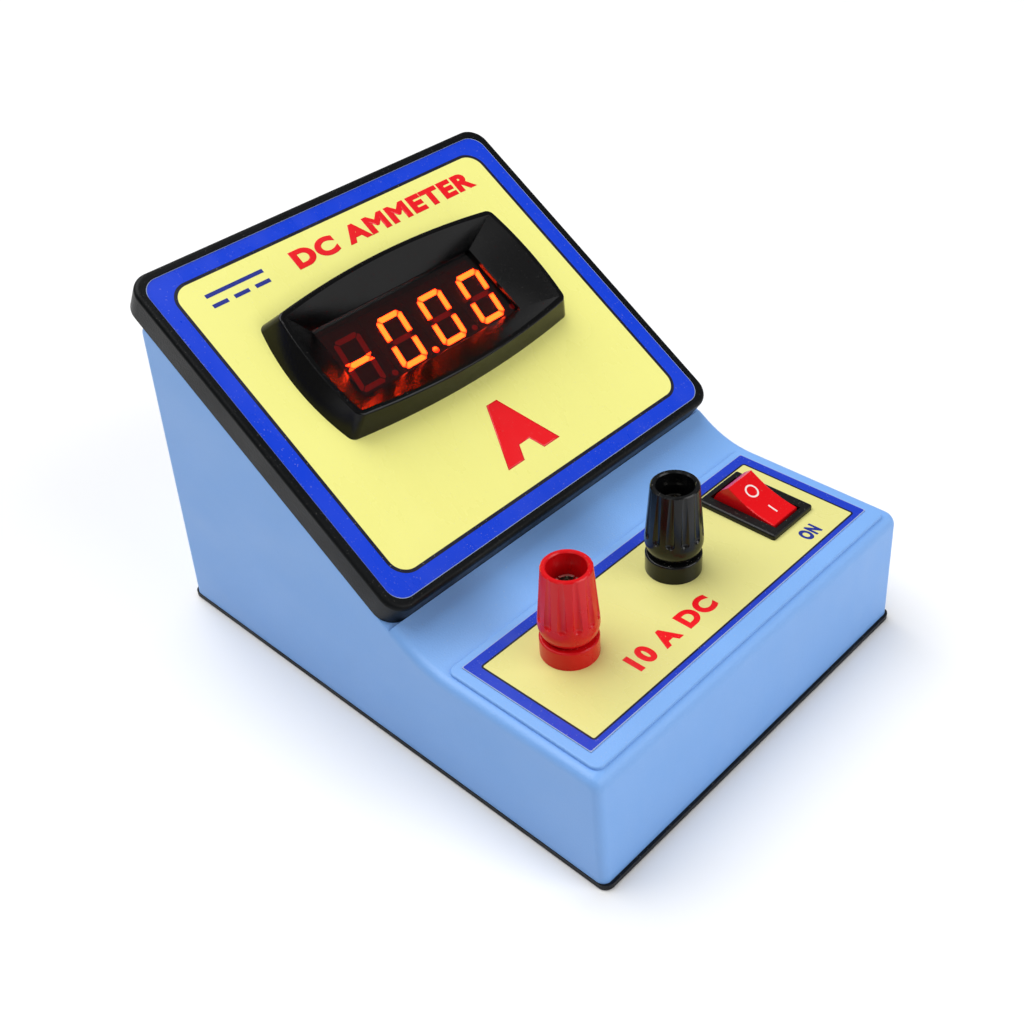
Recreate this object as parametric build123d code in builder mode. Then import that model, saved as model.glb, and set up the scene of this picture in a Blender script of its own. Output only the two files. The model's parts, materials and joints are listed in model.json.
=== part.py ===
"""Bench ammeter with a sloping digital display: plastic case, printed panel, two screw-down
4 mm posts, a rocker switch and the electronics inside. Millimetres, +Z up, front towards -Y,
origin at the middle of the underside."""
from build123d import *
from math import atan2, cos, degrees, radians, sin, sqrt, tan
import os

os.makedirs("parts", exist_ok=True)

# ---- Case and base -----------------------------------------------------------------------
BASE_WIDTH = 104.7
BASE_DEPTH = 138.5
BASE_THICK = 1.6
BASE_CORNER = 2.2
CASE_INSET = 0.15            # case wall stands in from the base plate's edge
FRONT_BACKSET = 0.7          # foot of the front wall from the base plate's front edge
FRONT_LEAN = 2.3             # degrees that the front wall leans back
REAR_BACKSET = 0.95
REAR_LEAN = 5.0              # degrees that the rear wall leans forward
WALL = 2.2
DECK_RIM = 30.55             # height of the deck's rim above the table
PLATEAU_RISE = 0.8           # label plateau above the rim
PLATEAU_SIDE = 2.4           # plateau's edge from the case's side
PLATEAU_FRONT = 2.0          # and from the top of the front wall
PLATEAU_DEPTH = 40.1
PLATEAU_CORNER = 2.0
EDGE_ROUND = 2.0
CORNER_ROUND = 3.0           # front top edge and rear top edge
DECK_SWEEP = 24.0            # hollow curve from the deck into the slope
BOSS_R = 4.0
BOSS_HOLE_R = 1.45
BOSS_HEIGHT = 18.0
BOSS_BITE = 1.0              # how far a boss runs into the side wall
BOSS_INSET_Y = 7.2           # boss centres from the base plate's front and rear edges

# ---- Sloping panel -----------------------------------------------------------------------
PANEL_ANGLE = 33.4           # degrees
PANEL_FROM_REAR = 45.81      # centre of the panel label's face from the base plate's rear edge
PANEL_Z = 66.31
PANEL_INSET = 0.05           # panel's sides in from the base plate's
PANEL_LENGTH = 92.0
PANEL_CORNER = 5.0
PANEL_PLATE = 2.6
PANEL_LIP = 0.3              # rim that stands above the label
SKIRT_WALL = 2.1
SKIRT_BOTTOM = 6.8           # skirt's lower edge below the label's face
SLOPE_BELOW = 5.6            # case's slope below the label's face
LABEL_THICK = 0.3
PANEL_LABEL_MARGIN = 2.1     # label's edge from the panel's edge
PANEL_LABEL_CORNER = 4.0
FIT_GAP = 0.12               # between pieces that drop into each other
UPSTAND_WALL = 2.0
OPENING_MARGIN_SIDE = 10.0   # case opening from the upstand's outside
OPENING_MARGIN_LOW = 8.0
OPENING_MARGIN_HIGH = 14.0
PANEL_BOSS_R = 2.8
PANEL_BOSS_SIDE = 5.6        # panel bosses from the upstand's outside
PANEL_BOSS_LOW = 5.2         # from the upstand's lower end
PANEL_BOSS_HIGH = 8.0        # from the rear wall's inside

# ---- Display bezel, filter and digits ----------------------------------------------------
BEZEL_UP = 6.8               # bezel's centre up the slope from the panel's centre
BEZEL_RISE = 6.0
FOOT_HALF = (34.0, 16.3)     # half sizes at the corners, at the bezel's foot
FOOT_BULGE = (2.4, 2.3)      # how far its sides and its long edges bow out
RIM_HALF = (32.2, 14.25)
RIM_BULGE = (1.1, 2.65)
BEZEL_CORNER = 2.0
RIM_LAND = 1.1               # flat rim round the funnel
RIM_ROUND = 0.5
WINDOW = (48.7, 19.0)
WINDOW_UP = 0.6              # window's centre above the bezel's centre
WINDOW_LIP = 1.0
NECK = (66.0, 28.0)          # square neck behind the panel
NECK_CAVITY = (58.0, 23.4)
NECK_DEPTH = 11.0
SNAP_WIDTH = 8.0
SNAP_REACH = 0.9
SNAP_HEIGHT = 2.4
FILTER_THICK = 1.5
FILTER_PLAY = 0.3
DIGIT_COUNT = 4
DIGIT_PITCH = 12.6
DIGIT_WIDTH = 12.5
DIGIT_LENGTH = 19.0
DIGIT_BELOW = 3.0            # digits' face below the label's face
DIGITS_SHIFT = (0.6, -0.6)   # middle of the row from the bezel's centre
SEGMENT_HALF = (3.75, 6.9)
SEGMENT_WIDE = 1.35
SEGMENT_CORNER = 1.0
SEGMENT_GAP = 0.17
SEGMENT_DEEP = 1.0
SEGMENT_SLANT = 8.6
POINT_R = 0.75
POINT_AT = (5.3, -6.2)
PIN_R = 0.3
PIN_LENGTH = 2.6
PIN_ROW = 7.6
BOARD_THICK = 1.6
DISPLAY_BOARD = (76.0, 44.0)
BOARD_SCREW_R = 1.2
BOARD_HEAD_R = 2.5
BOARD_HEAD = 1.8
NECK_SCREW_AT = (31.0, 8.0)
NECK_SCREW_DEEP = 6.0
CHIP = (52.0, 13.8, 4.0)
CHIP_LEGS = 20
CHIP_LEG_PITCH = 2.54
CHIP_LEG = (0.5, 0.3, 3.6)
CHIP_STANDOFF = 1.3
CHIP_DOWN = 7.5
FILM_CAP = (7.2, 3.5, 8.0)
FILM_CAP_AT = (-24.0, -13.0, -2.0)
FILM_CAP_UP = 12.0
TRIMMER = (9.5, 9.5, 5.0)
TRIMMER_AT = (22.0, 13.5)
TRIMMER_SCREW_R = 1.9
TRIMMER_SCREW_DEEP = 1.6
TRIMMER_SCREW_PROUD = 0.6
TRIMMER_SLOT = (0.6, 0.7)
RUNNING = 0.06               # radial clearance of turning fits

# ---- Deck: label, posts and switch -------------------------------------------------------
DECK_LABEL_DEPTH = 34.3
DECK_LABEL_SIDE = 2.5        # label's edge from the plateau's side
DECK_LABEL_FRONT = 3.7       # label's edge from the plateau's front edge
POST_SPACING = 33.8
POST_MIDDLE = -12.5
POST_BACK = 24.79            # posts behind the plateau's front edge
flange_rEACH = 3.2      # base's flange beyond the stud
POST_FLANGE = 4.6
POST_NECK_WALL = 1.0
collar_rEACH = 1.5           # stud's collar beyond its thread
COLLAR = 1.6
STUD_R = 3.0
STUD_TOP = 17.9
TUBE_STEP = 0.4              # split tube's radius under the thread's
TUBE_LENGTH = 6.0
SOCKET_R = 2.05              # for a 4 mm plug
SOCKET_DEEP = 15.0
TUBE_SLOT = 0.5
TUBE_SLOT_DEEP = 8.0
STUD_BELOW = 13.0            # stud below the deck's underside
CAP_GAP = 0.3                # cap's lower face above the flange, screwed down
CAP_LIFT = 5.0               # how far the cap unscrews
CAP_FOOT_WALL = 0.8
CAP_WIDE_WALL = 2.15
CAP_WIDE_AT = 8.7
CAP_TOP_WALL = 1.15
CAP_TOP = 22.3
CAP_EASE = 0.25              # bevel on the cap's rim
MOUTH_CLEAR = 1.5            # round the split tube
MOUTH_DEEP = 8.3
CAP_BORE_PLAY = 0.35
FLUTES = 12
FLUTE_R = 1.25
FLUTE_DEEP = 0.55            # at a flute's lower end
FLUTE_TOP_DEEP = 0.1         # where it runs out at the cap's rim
FLUTE_FROM = 10.6
BUSH_WALL = 1.2
BUSH = 6.0
washer_rEACH = 3.5
WASHER = 1.0
NUT_FLAT = 2.0               # nut's flats beyond the thread
NUT = 3.2
TAG = 0.6
TAG_LENGTH = 11.0
SHUNT_THICK = 1.2
SHUNT_WIDE = 7.0
SHUNT_NOTCH = 1.5
SWITCH_X = 32.7
SWITCH_BACK = 23.49          # switch's middle behind the plateau's front edge
SWITCH_BODY_WIDTH = 13.2
SWITCH_END_WALL = 0.5        # housing beyond the rocker's window
SWITCH_FRAME = (0.9, 1.0)    # bezel beyond the housing, at its sides and its ends
SWITCH_BEZEL_RISE = 1.3
SWITCH_DEEP = 12.0
SWITCH_WINDOW = 9.6
SWITCH_FLOOR = 1.6
SWITCH_SNAP = 0.6
ROCKER_WIDTH = 9.0
ROCKER_HALF = 6.6
ROCKER_TALL = 5.6            # ends of the rocker above its pivot
ROCKER_DISH = 0.8            # valley below the ends
ROCKER_TILT = 20.0           # each side of level
PIVOT_BELOW = 1.7            # pivot under the label's face
PIVOT_R = 1.1
PIVOT_REACH = 1.2
ROCKER_SKIRT = 1.2           # rocker's underside below the pivot
ROCKER_PLAY = 0.35
STEM_R = 2.1
STEM_END = 4.0
STEM_BORE_R = 1.4
STEM_BORE_TOP = 1.6
PLUNGER_R = 1.25
PLUNGER_TIP = 5.6
PLUNGER_LENGTH = 3.0
SPRING_WIRE = 0.3
SPRING_TURNS = 5
LEVER = (3.0, 9.0, 0.5)
LEVER_CLEAR = 0.25
LEVER_TILT = 8.0
TERMINAL = (4.8, 0.8)
TERMINAL_BELOW = 7.0
CONTACT_WIDE = 3.36          # end terminal's contact, along the blade
END_TERMINAL_AT = 6.4

# ---- Inside on the base plate ------------------------------------------------------------
POWER_BOARD = (44.0, 62.0)
POWER_BOARD_AT = (24.0, 14.0)
STANDOFF_R = 2.5
STANDOFF = 6.0
BOARD_HOLE_INSET = 4.0
SCREW_R = 1.4
CSK_R = 2.9
CSK_DEEP = 1.5
RECTIFIER = (8.5, 6.4, 3.4)
RECTIFIER_AT = (-10.0, -20.0)    # from the power board's middle
CAP_CAN_R = 8.0
CAP_CAN = 22.0
CAP_CAN_AT = (9.0, 14.0)
REGULATOR = (10.2, 4.4, 9.0)
REGULATOR_TAB = (1.3, 6.4)
REGULATOR_LEG = 0.8
REGULATOR_LIFT = 4.0
REGULATOR_AT = (-10.0, 6.0)
TRANSFORMER_AT = (-25.0, 30.0)
CORE = (41.0, 16.0, 34.5)
CORE_LEG = 12.6              # middle leg
CORE_WINDOW = (7.3, 21.0)
BOBBIN_FLANGE = 1.0
BOBBIN_TUBE = 0.8
WINDING_REACH = 5.6
BRACKET = 1.2
BRACKET_WIDE = 14.0
BRACKET_EAR = 11.0
NUT_M3 = (5.5, 2.4)
FUSE_R = 2.5
FUSE_LENGTH = 20.0
FUSE_AT = (11.0, -14.0)
FUSE_UNDER = 1.5
FUSE_CLIP = 5.0
FUSE_METAL = 0.5
GROMMET_UP = 18.7            # cord's entry above the base plate
GROMMET_X = 30.0
GROMMET_HOLE_R = 5.0
GROMMET_LIP_R = 7.0
GROMMET_LIP = 1.8
CORD_BORE_R = 3.3

LOW = (Align.CENTER, Align.CENTER, Align.MIN)
HIGH = (Align.CENTER, Align.CENTER, Align.MAX)

# ---- Places worked out from the sizes above ----------------------------------------------
half_width = BASE_WIDTH / 2 - CASE_INSET
deck_top = DECK_RIM + PLATEAU_RISE
deck_face = deck_top + LABEL_THICK
deck_under = DECK_RIM - WALL
front_foot = -BASE_DEPTH / 2 + FRONT_BACKSET
front_head = front_foot + (DECK_RIM - BASE_THICK) * tan(radians(FRONT_LEAN))
rear_foot = BASE_DEPTH / 2 - REAR_BACKSET
slope = radians(PANEL_ANGLE)
rear_rate = tan(radians(REAR_LEAN))
plateau_front = front_head + PLATEAU_FRONT
panel_width = BASE_WIDTH - 2 * PANEL_INSET
panel_y = BASE_DEPTH / 2 - PANEL_FROM_REAR
post_y = plateau_front + POST_BACK
switch_y = plateau_front + SWITCH_BACK
deck_label_width = 2 * (half_width - PLATEAU_SIDE - DECK_LABEL_SIDE)
rocker_end_r = sqrt(ROCKER_HALF**2 + ROCKER_TALL**2)
window_length = 2 * (rocker_end_r + ROCKER_PLAY)
switch_body = (SWITCH_BODY_WIDTH, window_length + 2 * SWITCH_END_WALL)
switch_bezel = (switch_body[0] + 2 * SWITCH_FRAME[0], switch_body[1] + 2 * SWITCH_FRAME[1])
neck_r = STUD_R + POST_NECK_WALL
flange_r = STUD_R + flange_rEACH
collar_r = STUD_R + collar_rEACH
tube_r = STUD_R - TUBE_STEP
mouth_r = tube_r + MOUTH_CLEAR
bush_r = STUD_R + BUSH_WALL
cap_foot_r = bush_r + CAP_FOOT_WALL
cap_wide_r = bush_r + CAP_WIDE_WALL
cap_top_r = mouth_r + CAP_TOP_WALL
nut_across = 2 * (STUD_R + NUT_FLAT)
washer_r = STUD_R + washer_rEACH
panel = Plane((0, panel_y, PANEL_Z), x_dir=(1, 0, 0), z_dir=(0, -sin(slope), cos(slope)))
skirt_in = (panel_width / 2 - SKIRT_WALL, PANEL_LENGTH / 2 - SKIRT_WALL)
upstand_side = skirt_in[0] - FIT_GAP
upstand_low = -skirt_in[1] + FIT_GAP
plate_under = PANEL_PLATE - PANEL_LIP
upstand_top = -plate_under - FIT_GAP


def on_slope(up, out):
    """(y, z) of a point that far up the slope from the panel's centre and out of its face."""
    y = panel_y + up * cos(slope) - out * sin(slope)
    z = PANEL_Z + up * sin(slope) + out * cos(slope)
    return y, z


def rear_up(out, inset=0.0):
    """How far up the slope the rear wall's face, moved in by inset, crosses that level."""
    start = rear_foot - inset / cos(radians(REAR_LEAN)) - panel_y + out * sin(slope)
    start -= rear_rate * (PANEL_Z + out * cos(slope) - BASE_THICK)
    return start / (cos(slope) + rear_rate * sin(slope))


def moved_plane(plane, x, y, z=0.0):
    """The same plane with its origin moved within its own axes."""
    return Plane(plane.from_local_coords((x, y, z)), x_dir=plane.x_dir, z_dir=plane.z_dir)


def keep(piece, name):
    """Labels a finished piece and writes it."""
    piece.part.label = name
    export_step(piece.part, f"parts/{name}.step")


def upright(x, y, z):
    """The plane of a turned profile: radius along its X, height along its Y."""
    return Plane((x, y, z), x_dir=(1, 0, 0), z_dir=(0, -1, 0))


def countersunk_screw(head_r, head, shank_r, length):
    """Flat head at Z=0, facing down, with its shank up."""
    with BuildPart() as screw:
        Cone(head_r, shank_r, head, align=LOW)
        Cylinder(shank_r, length, align=LOW)
        Box(2 * shank_r, shank_r / 3, head / 2, align=LOW, mode=Mode.SUBTRACT)
        Box(shank_r / 3, 2 * shank_r, head / 2, align=LOW, mode=Mode.SUBTRACT)
    return screw.part


def pan_screw(head_r, head, shank_r, length):
    """Head above Z=0, shank below it."""
    with BuildPart() as screw:
        Cylinder(head_r, head, align=LOW)
        fillet(screw.edges().group_by(Axis.Z)[-1], head / 3)
        Cylinder(shank_r, length, align=HIGH)
        with Locations((0, 0, head)):
            Box(2 * shank_r, shank_r / 3, head / 2, align=HIGH, mode=Mode.SUBTRACT)
            Box(shank_r / 3, 2 * shank_r, head / 2, align=HIGH, mode=Mode.SUBTRACT)
    return screw.part


def side_outline(bottom):
    """The case's side, closed along a level bottom, as points on Plane.YZ and corner radii."""
    front_y = front_foot + (bottom - BASE_THICK) * tan(radians(FRONT_LEAN))
    rear_y = rear_foot - (bottom - BASE_THICK) * rear_rate
    start_up = (DECK_RIM - PANEL_Z + SLOPE_BELOW * cos(slope)) / sin(slope)
    points = [
        (front_y, bottom),
        (front_head, DECK_RIM),
        on_slope(start_up, -SLOPE_BELOW),
        on_slope(rear_up(-SLOPE_BELOW), -SLOPE_BELOW),
        (rear_y, bottom),
    ]
    return points, [CORNER_ROUND, DECK_SWEEP, CORNER_ROUND]


boss_x = half_width - WALL - BOSS_R + BOSS_BITE
boss_y = BASE_DEPTH / 2 - BOSS_INSET_Y
base_screw_spots = [(x, y) for x in (-boss_x, boss_x) for y in (-boss_y, boss_y)]
post_spots = {"red": POST_MIDDLE - POST_SPACING / 2, "black": POST_MIDDLE + POST_SPACING / 2}
panel_boss_x = upstand_side - PANEL_BOSS_SIDE
panel_boss_spots = [
    (x, up)
    for x in (-panel_boss_x, panel_boss_x)
    for up in (upstand_low + PANEL_BOSS_LOW, rear_up(upstand_top, WALL) - PANEL_BOSS_HIGH)
]
rear_lean = radians(REAR_LEAN)
grommet_y = rear_foot - GROMMET_UP * rear_rate
rear_face = Plane(
    (GROMMET_X, grommet_y, BASE_THICK + GROMMET_UP),
    x_dir=(-1, 0, 0),
    z_dir=(0, cos(rear_lean), sin(rear_lean)),
)
plateau_mid = plateau_front + PLATEAU_DEPTH / 2
deck_label_mid = plateau_front + DECK_LABEL_FRONT + DECK_LABEL_DEPTH / 2
switch_hole = (switch_body[0] + 2 * FIT_GAP, switch_body[1] + 2 * FIT_GAP)
post_hole_r = neck_r + FIT_GAP

# ---- case_shell: the moulded case, open below and under the panel ------------------------
with BuildPart() as case_shell:
    outer_points, outer_radii = side_outline(BASE_THICK)
    with BuildSketch(Plane.YZ):
        with BuildLine():
            path = FilletPolyline(*outer_points, radius=outer_radii)
            Line(path @ 1, path @ 0)
        make_face()
    extrude(amount=half_width, both=True)
    side_edges = case_shell.faces().filter_by(Axis.X).edges()
    fillet(side_edges.filter_by(lambda e: e.center().Z > BASE_THICK + FIT_GAP), EDGE_ROUND)
    with BuildSketch(Plane.XY.offset(DECK_RIM - FIT_GAP)):
        with Locations((0, plateau_mid)):
            RectangleRounded(2 * (half_width - PLATEAU_SIDE), PLATEAU_DEPTH, PLATEAU_CORNER)
    extrude(amount=PLATEAU_RISE + FIT_GAP)
    fillet(case_shell.faces().filter_by(Axis.Z).sort_by(Axis.Z)[-1].edges(), PLATEAU_RISE / 2)
    with BuildSketch(Plane.YZ):
        with BuildLine():
            Polyline(
                on_slope(upstand_low, -SLOPE_BELOW - WALL / 2),
                on_slope(upstand_low, upstand_top),
                on_slope(rear_up(upstand_top), upstand_top),
                on_slope(rear_up(-SLOPE_BELOW - WALL / 2), -SLOPE_BELOW - WALL / 2),
                close=True,
            )
        make_face()
    extrude(amount=upstand_side, both=True)
    # hollow inside
    inner_points, inner_radii = side_outline(BASE_THICK - WALL)
    with BuildSketch(Plane.YZ) as hollow:
        with BuildLine():
            path = FilletPolyline(*inner_points, radius=inner_radii)
            Line(path @ 1, path @ 0)
        make_face()
        offset(amount=-WALL, mode=Mode.REPLACE)
    extrude(amount=half_width - WALL, both=True, mode=Mode.SUBTRACT)
    # rebate that the panel's skirt drops into
    with BuildSketch(panel.offset(-SKIRT_BOTTOM - FIT_GAP)):
        with Locations((0, PANEL_LENGTH / 2)):
            Rectangle(2 * panel_width, 2 * (PANEL_LENGTH + FIT_GAP))
        with Locations((0, upstand_low + PANEL_LENGTH)):
            Rectangle(2 * upstand_side, 2 * PANEL_LENGTH, mode=Mode.SUBTRACT)
    extrude(amount=SKIRT_BOTTOM, mode=Mode.SUBTRACT)
    # the opening under the panel, and the well inside the upstand
    opening_high = rear_up(upstand_top) - OPENING_MARGIN_HIGH
    opening_low = upstand_low + OPENING_MARGIN_LOW
    with BuildSketch(panel.offset(-SLOPE_BELOW - 2 * WALL)):
        with Locations((0, (opening_high + opening_low) / 2)):
            Rectangle(2 * (upstand_side - OPENING_MARGIN_SIDE), opening_high - opening_low)
    extrude(amount=SLOPE_BELOW + 2 * WALL, mode=Mode.SUBTRACT)
    well_low = upstand_low + UPSTAND_WALL
    well_high = rear_up(-SLOPE_BELOW, WALL)
    with BuildSketch(panel.offset(-SLOPE_BELOW)):
        with Locations((0, (well_low + well_high) / 2)):
            Rectangle(2 * (upstand_side - UPSTAND_WALL), well_high - well_low)
    extrude(amount=SLOPE_BELOW, mode=Mode.SUBTRACT)
    # screw bosses for the base plate
    with BuildSketch(Plane.XY.offset(BASE_THICK)):
        with Locations(*base_screw_spots):
            Circle(BOSS_R)
    extrude(amount=BOSS_HEIGHT)
    with BuildSketch(Plane.XY.offset(BASE_THICK)):
        with Locations(*base_screw_spots):
            Circle(BOSS_HOLE_R)
    extrude(amount=BOSS_HEIGHT - WALL, mode=Mode.SUBTRACT)
    # holes: panel screws, posts, switch and cord
    with BuildSketch(panel.offset(-SLOPE_BELOW - 2 * WALL)):
        with Locations(*panel_boss_spots):
            Circle(SCREW_R + 2 * FIT_GAP)
    extrude(amount=SLOPE_BELOW, mode=Mode.SUBTRACT)
    with BuildSketch(Plane.XY.offset(deck_under - WALL)):
        with Locations(*[(x, post_y) for x in post_spots.values()]):
            Circle(post_hole_r)
        with Locations((SWITCH_X, switch_y)):
            Rectangle(*switch_hole)
    extrude(amount=3 * WALL, mode=Mode.SUBTRACT)
    with BuildSketch(rear_face.offset(-2 * WALL)):
        Circle(GROMMET_HOLE_R)
    extrude(amount=3 * WALL, mode=Mode.SUBTRACT)
keep(case_shell, "case_shell")

# ---- base_plate: flat black sheet that closes the case from below ------------------------
standoff_spots = [
    (POWER_BOARD_AT[0] + x, POWER_BOARD_AT[1] + y)
    for x in (BOARD_HOLE_INSET - POWER_BOARD[0] / 2, POWER_BOARD[0] / 2 - BOARD_HOLE_INSET)
    for y in (BOARD_HOLE_INSET - POWER_BOARD[1] / 2, POWER_BOARD[1] / 2 - BOARD_HOLE_INSET)
]
ear_x = CORE[0] / 2 + BRACKET + BRACKET_EAR / 2
transformer_spots = [
    (TRANSFORMER_AT[0], TRANSFORMER_AT[1] + y) for y in (-ear_x, ear_x)
]
csk_spots = base_screw_spots + standoff_spots + transformer_spots
with BuildPart() as base_plate:
    with BuildSketch():
        RectangleRounded(BASE_WIDTH, BASE_DEPTH, BASE_CORNER)
    extrude(amount=BASE_THICK)
    fillet(base_plate.edges().group_by(Axis.Z)[0], BASE_THICK / 4)
    with BuildSketch():
        with Locations(*csk_spots):
            Circle(SCREW_R + FIT_GAP)
    extrude(amount=BASE_THICK, mode=Mode.SUBTRACT)
    with Locations(*csk_spots):
        Cone(CSK_R + FIT_GAP, SCREW_R + FIT_GAP, CSK_DEEP, align=LOW, mode=Mode.SUBTRACT)
keep(base_plate, "base_plate")

# ---- base_screws: four countersunk self-tapping screws from below ------------------------
with BuildPart() as base_screws:
    with Locations(*base_screw_spots):
        add(countersunk_screw(CSK_R, CSK_DEEP, SCREW_R, BASE_THICK + BOSS_HEIGHT - 2 * WALL))
keep(base_screws, "base_screws")

# ---- front_panel: black moulded tray that caps the slope ---------------------------------
panel_label_size = (panel_width - 2 * PANEL_LABEL_MARGIN, PANEL_LENGTH - 2 * PANEL_LABEL_MARGIN)
neck_hole = (NECK[0] + 2 * FIT_GAP, NECK[1] + 2 * FIT_GAP)
with BuildPart() as front_panel:
    with BuildSketch(panel.offset(-SKIRT_BOTTOM)):
        RectangleRounded(panel_width, PANEL_LENGTH, PANEL_CORNER)
    extrude(amount=SKIRT_BOTTOM + PANEL_LIP)
    face = front_panel.faces().sort_by(Axis(panel.origin, panel.z_dir))[-1]
    fillet(face.edges(), SKIRT_WALL / 2)
    with BuildSketch(panel.offset(-SKIRT_BOTTOM)):
        Rectangle(2 * skirt_in[0], 2 * skirt_in[1])
    extrude(amount=SKIRT_BOTTOM - plate_under, mode=Mode.SUBTRACT)
    with BuildSketch(panel.offset(-LABEL_THICK)):
        RectangleRounded(
            panel_label_size[0] + FIT_GAP, panel_label_size[1] + FIT_GAP, PANEL_LABEL_CORNER
        )
    extrude(amount=LABEL_THICK + PANEL_LIP, mode=Mode.SUBTRACT)
    with BuildSketch(panel.offset(-SLOPE_BELOW)):
        with Locations(*panel_boss_spots):
            Circle(PANEL_BOSS_R)
    extrude(amount=SLOPE_BELOW - plate_under + FIT_GAP)
    with BuildSketch(panel.offset(-SLOPE_BELOW)):
        with Locations(*panel_boss_spots):
            Circle(SCREW_R + FIT_GAP / 2)
        with Locations((0, BEZEL_UP)):
            Rectangle(*neck_hole)
    extrude(amount=SLOPE_BELOW - LABEL_THICK - PANEL_LIP, mode=Mode.SUBTRACT)
    with BuildSketch(panel.offset(-plate_under)):
        with Locations((0, BEZEL_UP)):
            Rectangle(*neck_hole)
    extrude(amount=PANEL_PLATE, mode=Mode.SUBTRACT)
keep(front_panel, "front_panel")

# ---- panel_screws: from inside the case, up into the panel's bosses ----------------------
screw_up = SLOPE_BELOW + WALL
with BuildPart() as panel_screws:
    with Locations(*[
        panel.offset(-screw_up) * Location((x, up, 0), (180, 0, 0)) for x, up in panel_boss_spots
    ]):
        add(pan_screw(BOARD_HEAD_R, BOARD_HEAD, SCREW_R, screw_up - LABEL_THICK - 2 * PANEL_LIP))
keep(panel_screws, "panel_screws")

# ---- panel_label and deck_label: printed sheets stuck in place ---------------------------
with BuildPart() as panel_label:
    with BuildSketch(panel.offset(-LABEL_THICK)):
        RectangleRounded(*panel_label_size, PANEL_LABEL_CORNER)
        with Locations((0, BEZEL_UP)):
            Rectangle(*neck_hole, mode=Mode.SUBTRACT)
    extrude(amount=LABEL_THICK)
keep(panel_label, "panel_label")

with BuildPart() as deck_label:
    with BuildSketch(Plane.XY.offset(deck_top)):
        with Locations((0, deck_label_mid)):
            Rectangle(deck_label_width, DECK_LABEL_DEPTH)
        with Locations(*[(x, post_y) for x in post_spots.values()]):
            Circle(post_hole_r, mode=Mode.SUBTRACT)
        with Locations((SWITCH_X, switch_y)):
            Rectangle(*switch_hole, mode=Mode.SUBTRACT)
    extrude(amount=LABEL_THICK)
keep(deck_label, "deck_label")


# ---- display_bezel: bowed black frame with a funnel down to the window -------------------
def bowed_outline(half, bulge, inset=0.0):
    """A closed outline with four bowed sides about (0, 0), for the current BuildLine."""
    x, y = half[0] - inset, half[1] - inset
    out_x, out_y = x + bulge[0], y + bulge[1]
    ThreePointArc((-x, -y), (0, -out_y), (x, -y))
    ThreePointArc((x, -y), (out_x, 0), (x, y))
    ThreePointArc((x, y), (0, out_y), (-x, y))
    ThreePointArc((-x, y), (-out_x, 0), (-x, -y))


bezel_foot = moved_plane(panel, 0, BEZEL_UP)
window_foot = moved_plane(bezel_foot, 0, WINDOW_UP)
with BuildPart() as display_bezel:
    with BuildSketch(bezel_foot) as foot:
        with BuildLine():
            bowed_outline(FOOT_HALF, FOOT_BULGE)
        make_face()
        fillet(foot.vertices(), BEZEL_CORNER)
    with BuildSketch(bezel_foot.offset(BEZEL_RISE)) as rim:
        with BuildLine():
            bowed_outline(RIM_HALF, RIM_BULGE)
        make_face()
        fillet(rim.vertices(), BEZEL_CORNER)
    loft()
    rim_face = display_bezel.faces().sort_by(Axis(panel.origin, panel.z_dir))[-1]
    fillet(rim_face.edges(), RIM_ROUND)
    with BuildSketch(bezel_foot.offset(-NECK_DEPTH)):
        Rectangle(*NECK)
    extrude(amount=NECK_DEPTH)
    with BuildSketch(window_foot):
        Rectangle(*WINDOW)
    with BuildSketch(bezel_foot.offset(BEZEL_RISE)):
        with BuildLine():
            bowed_outline(RIM_HALF, RIM_BULGE, RIM_LAND)
        make_face()
    loft(mode=Mode.SUBTRACT)
    with BuildSketch(window_foot.offset(-WINDOW_LIP)):
        Rectangle(*WINDOW)
    extrude(amount=WINDOW_LIP, mode=Mode.SUBTRACT)
    with BuildSketch(bezel_foot.offset(-NECK_DEPTH)):
        Rectangle(*NECK_CAVITY)
    extrude(amount=NECK_DEPTH - WINDOW_LIP, mode=Mode.SUBTRACT)
    # snaps on the neck's long sides, under the panel
    snap_top = -plate_under - FIT_GAP
    for side in (-1, 1):
        edge_up = BEZEL_UP + side * NECK[1] / 2
        for x in (-NECK[0] / 4, NECK[0] / 4):
            snap_plane = Plane(panel.from_local_coords((x, 0, 0)), x_dir=panel.y_dir, z_dir=(1, 0, 0))
            with BuildSketch(snap_plane):
                with BuildLine():
                    Polyline(
                        (edge_up - side * WINDOW_LIP, snap_top),
                        (edge_up + side * SNAP_REACH, snap_top),
                        (edge_up - side * WINDOW_LIP, snap_top - SNAP_HEIGHT),
                        close=True,
                    )
                make_face()
            extrude(amount=SNAP_WIDTH / 2, both=True)
    neck_screw_spots = [(x, y) for x in (-NECK_SCREW_AT[0], NECK_SCREW_AT[0])
                        for y in (-NECK_SCREW_AT[1], NECK_SCREW_AT[1])]
    with BuildSketch(bezel_foot.offset(-NECK_DEPTH)):
        with Locations(*neck_screw_spots):
            Circle(BOARD_SCREW_R + FIT_GAP / 2)
    extrude(amount=NECK_SCREW_DEEP + WINDOW_LIP, mode=Mode.SUBTRACT)
keep(display_bezel, "display_bezel")

# ---- display_filter: red acrylic behind the window ---------------------------------------
with BuildPart() as display_filter:
    with BuildSketch(bezel_foot.offset(-WINDOW_LIP - FILTER_THICK)):
        Rectangle(NECK_CAVITY[0] - FILTER_PLAY, NECK_CAVITY[1] - FILTER_PLAY)
    extrude(amount=FILTER_THICK)
keep(display_filter, "display_filter")


# ---- digit_1 to digit_4 and their cast light segments ------------------------------------
def mirrored(points, x, y):
    return [(x * a, y * b) for a, b in points]


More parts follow.
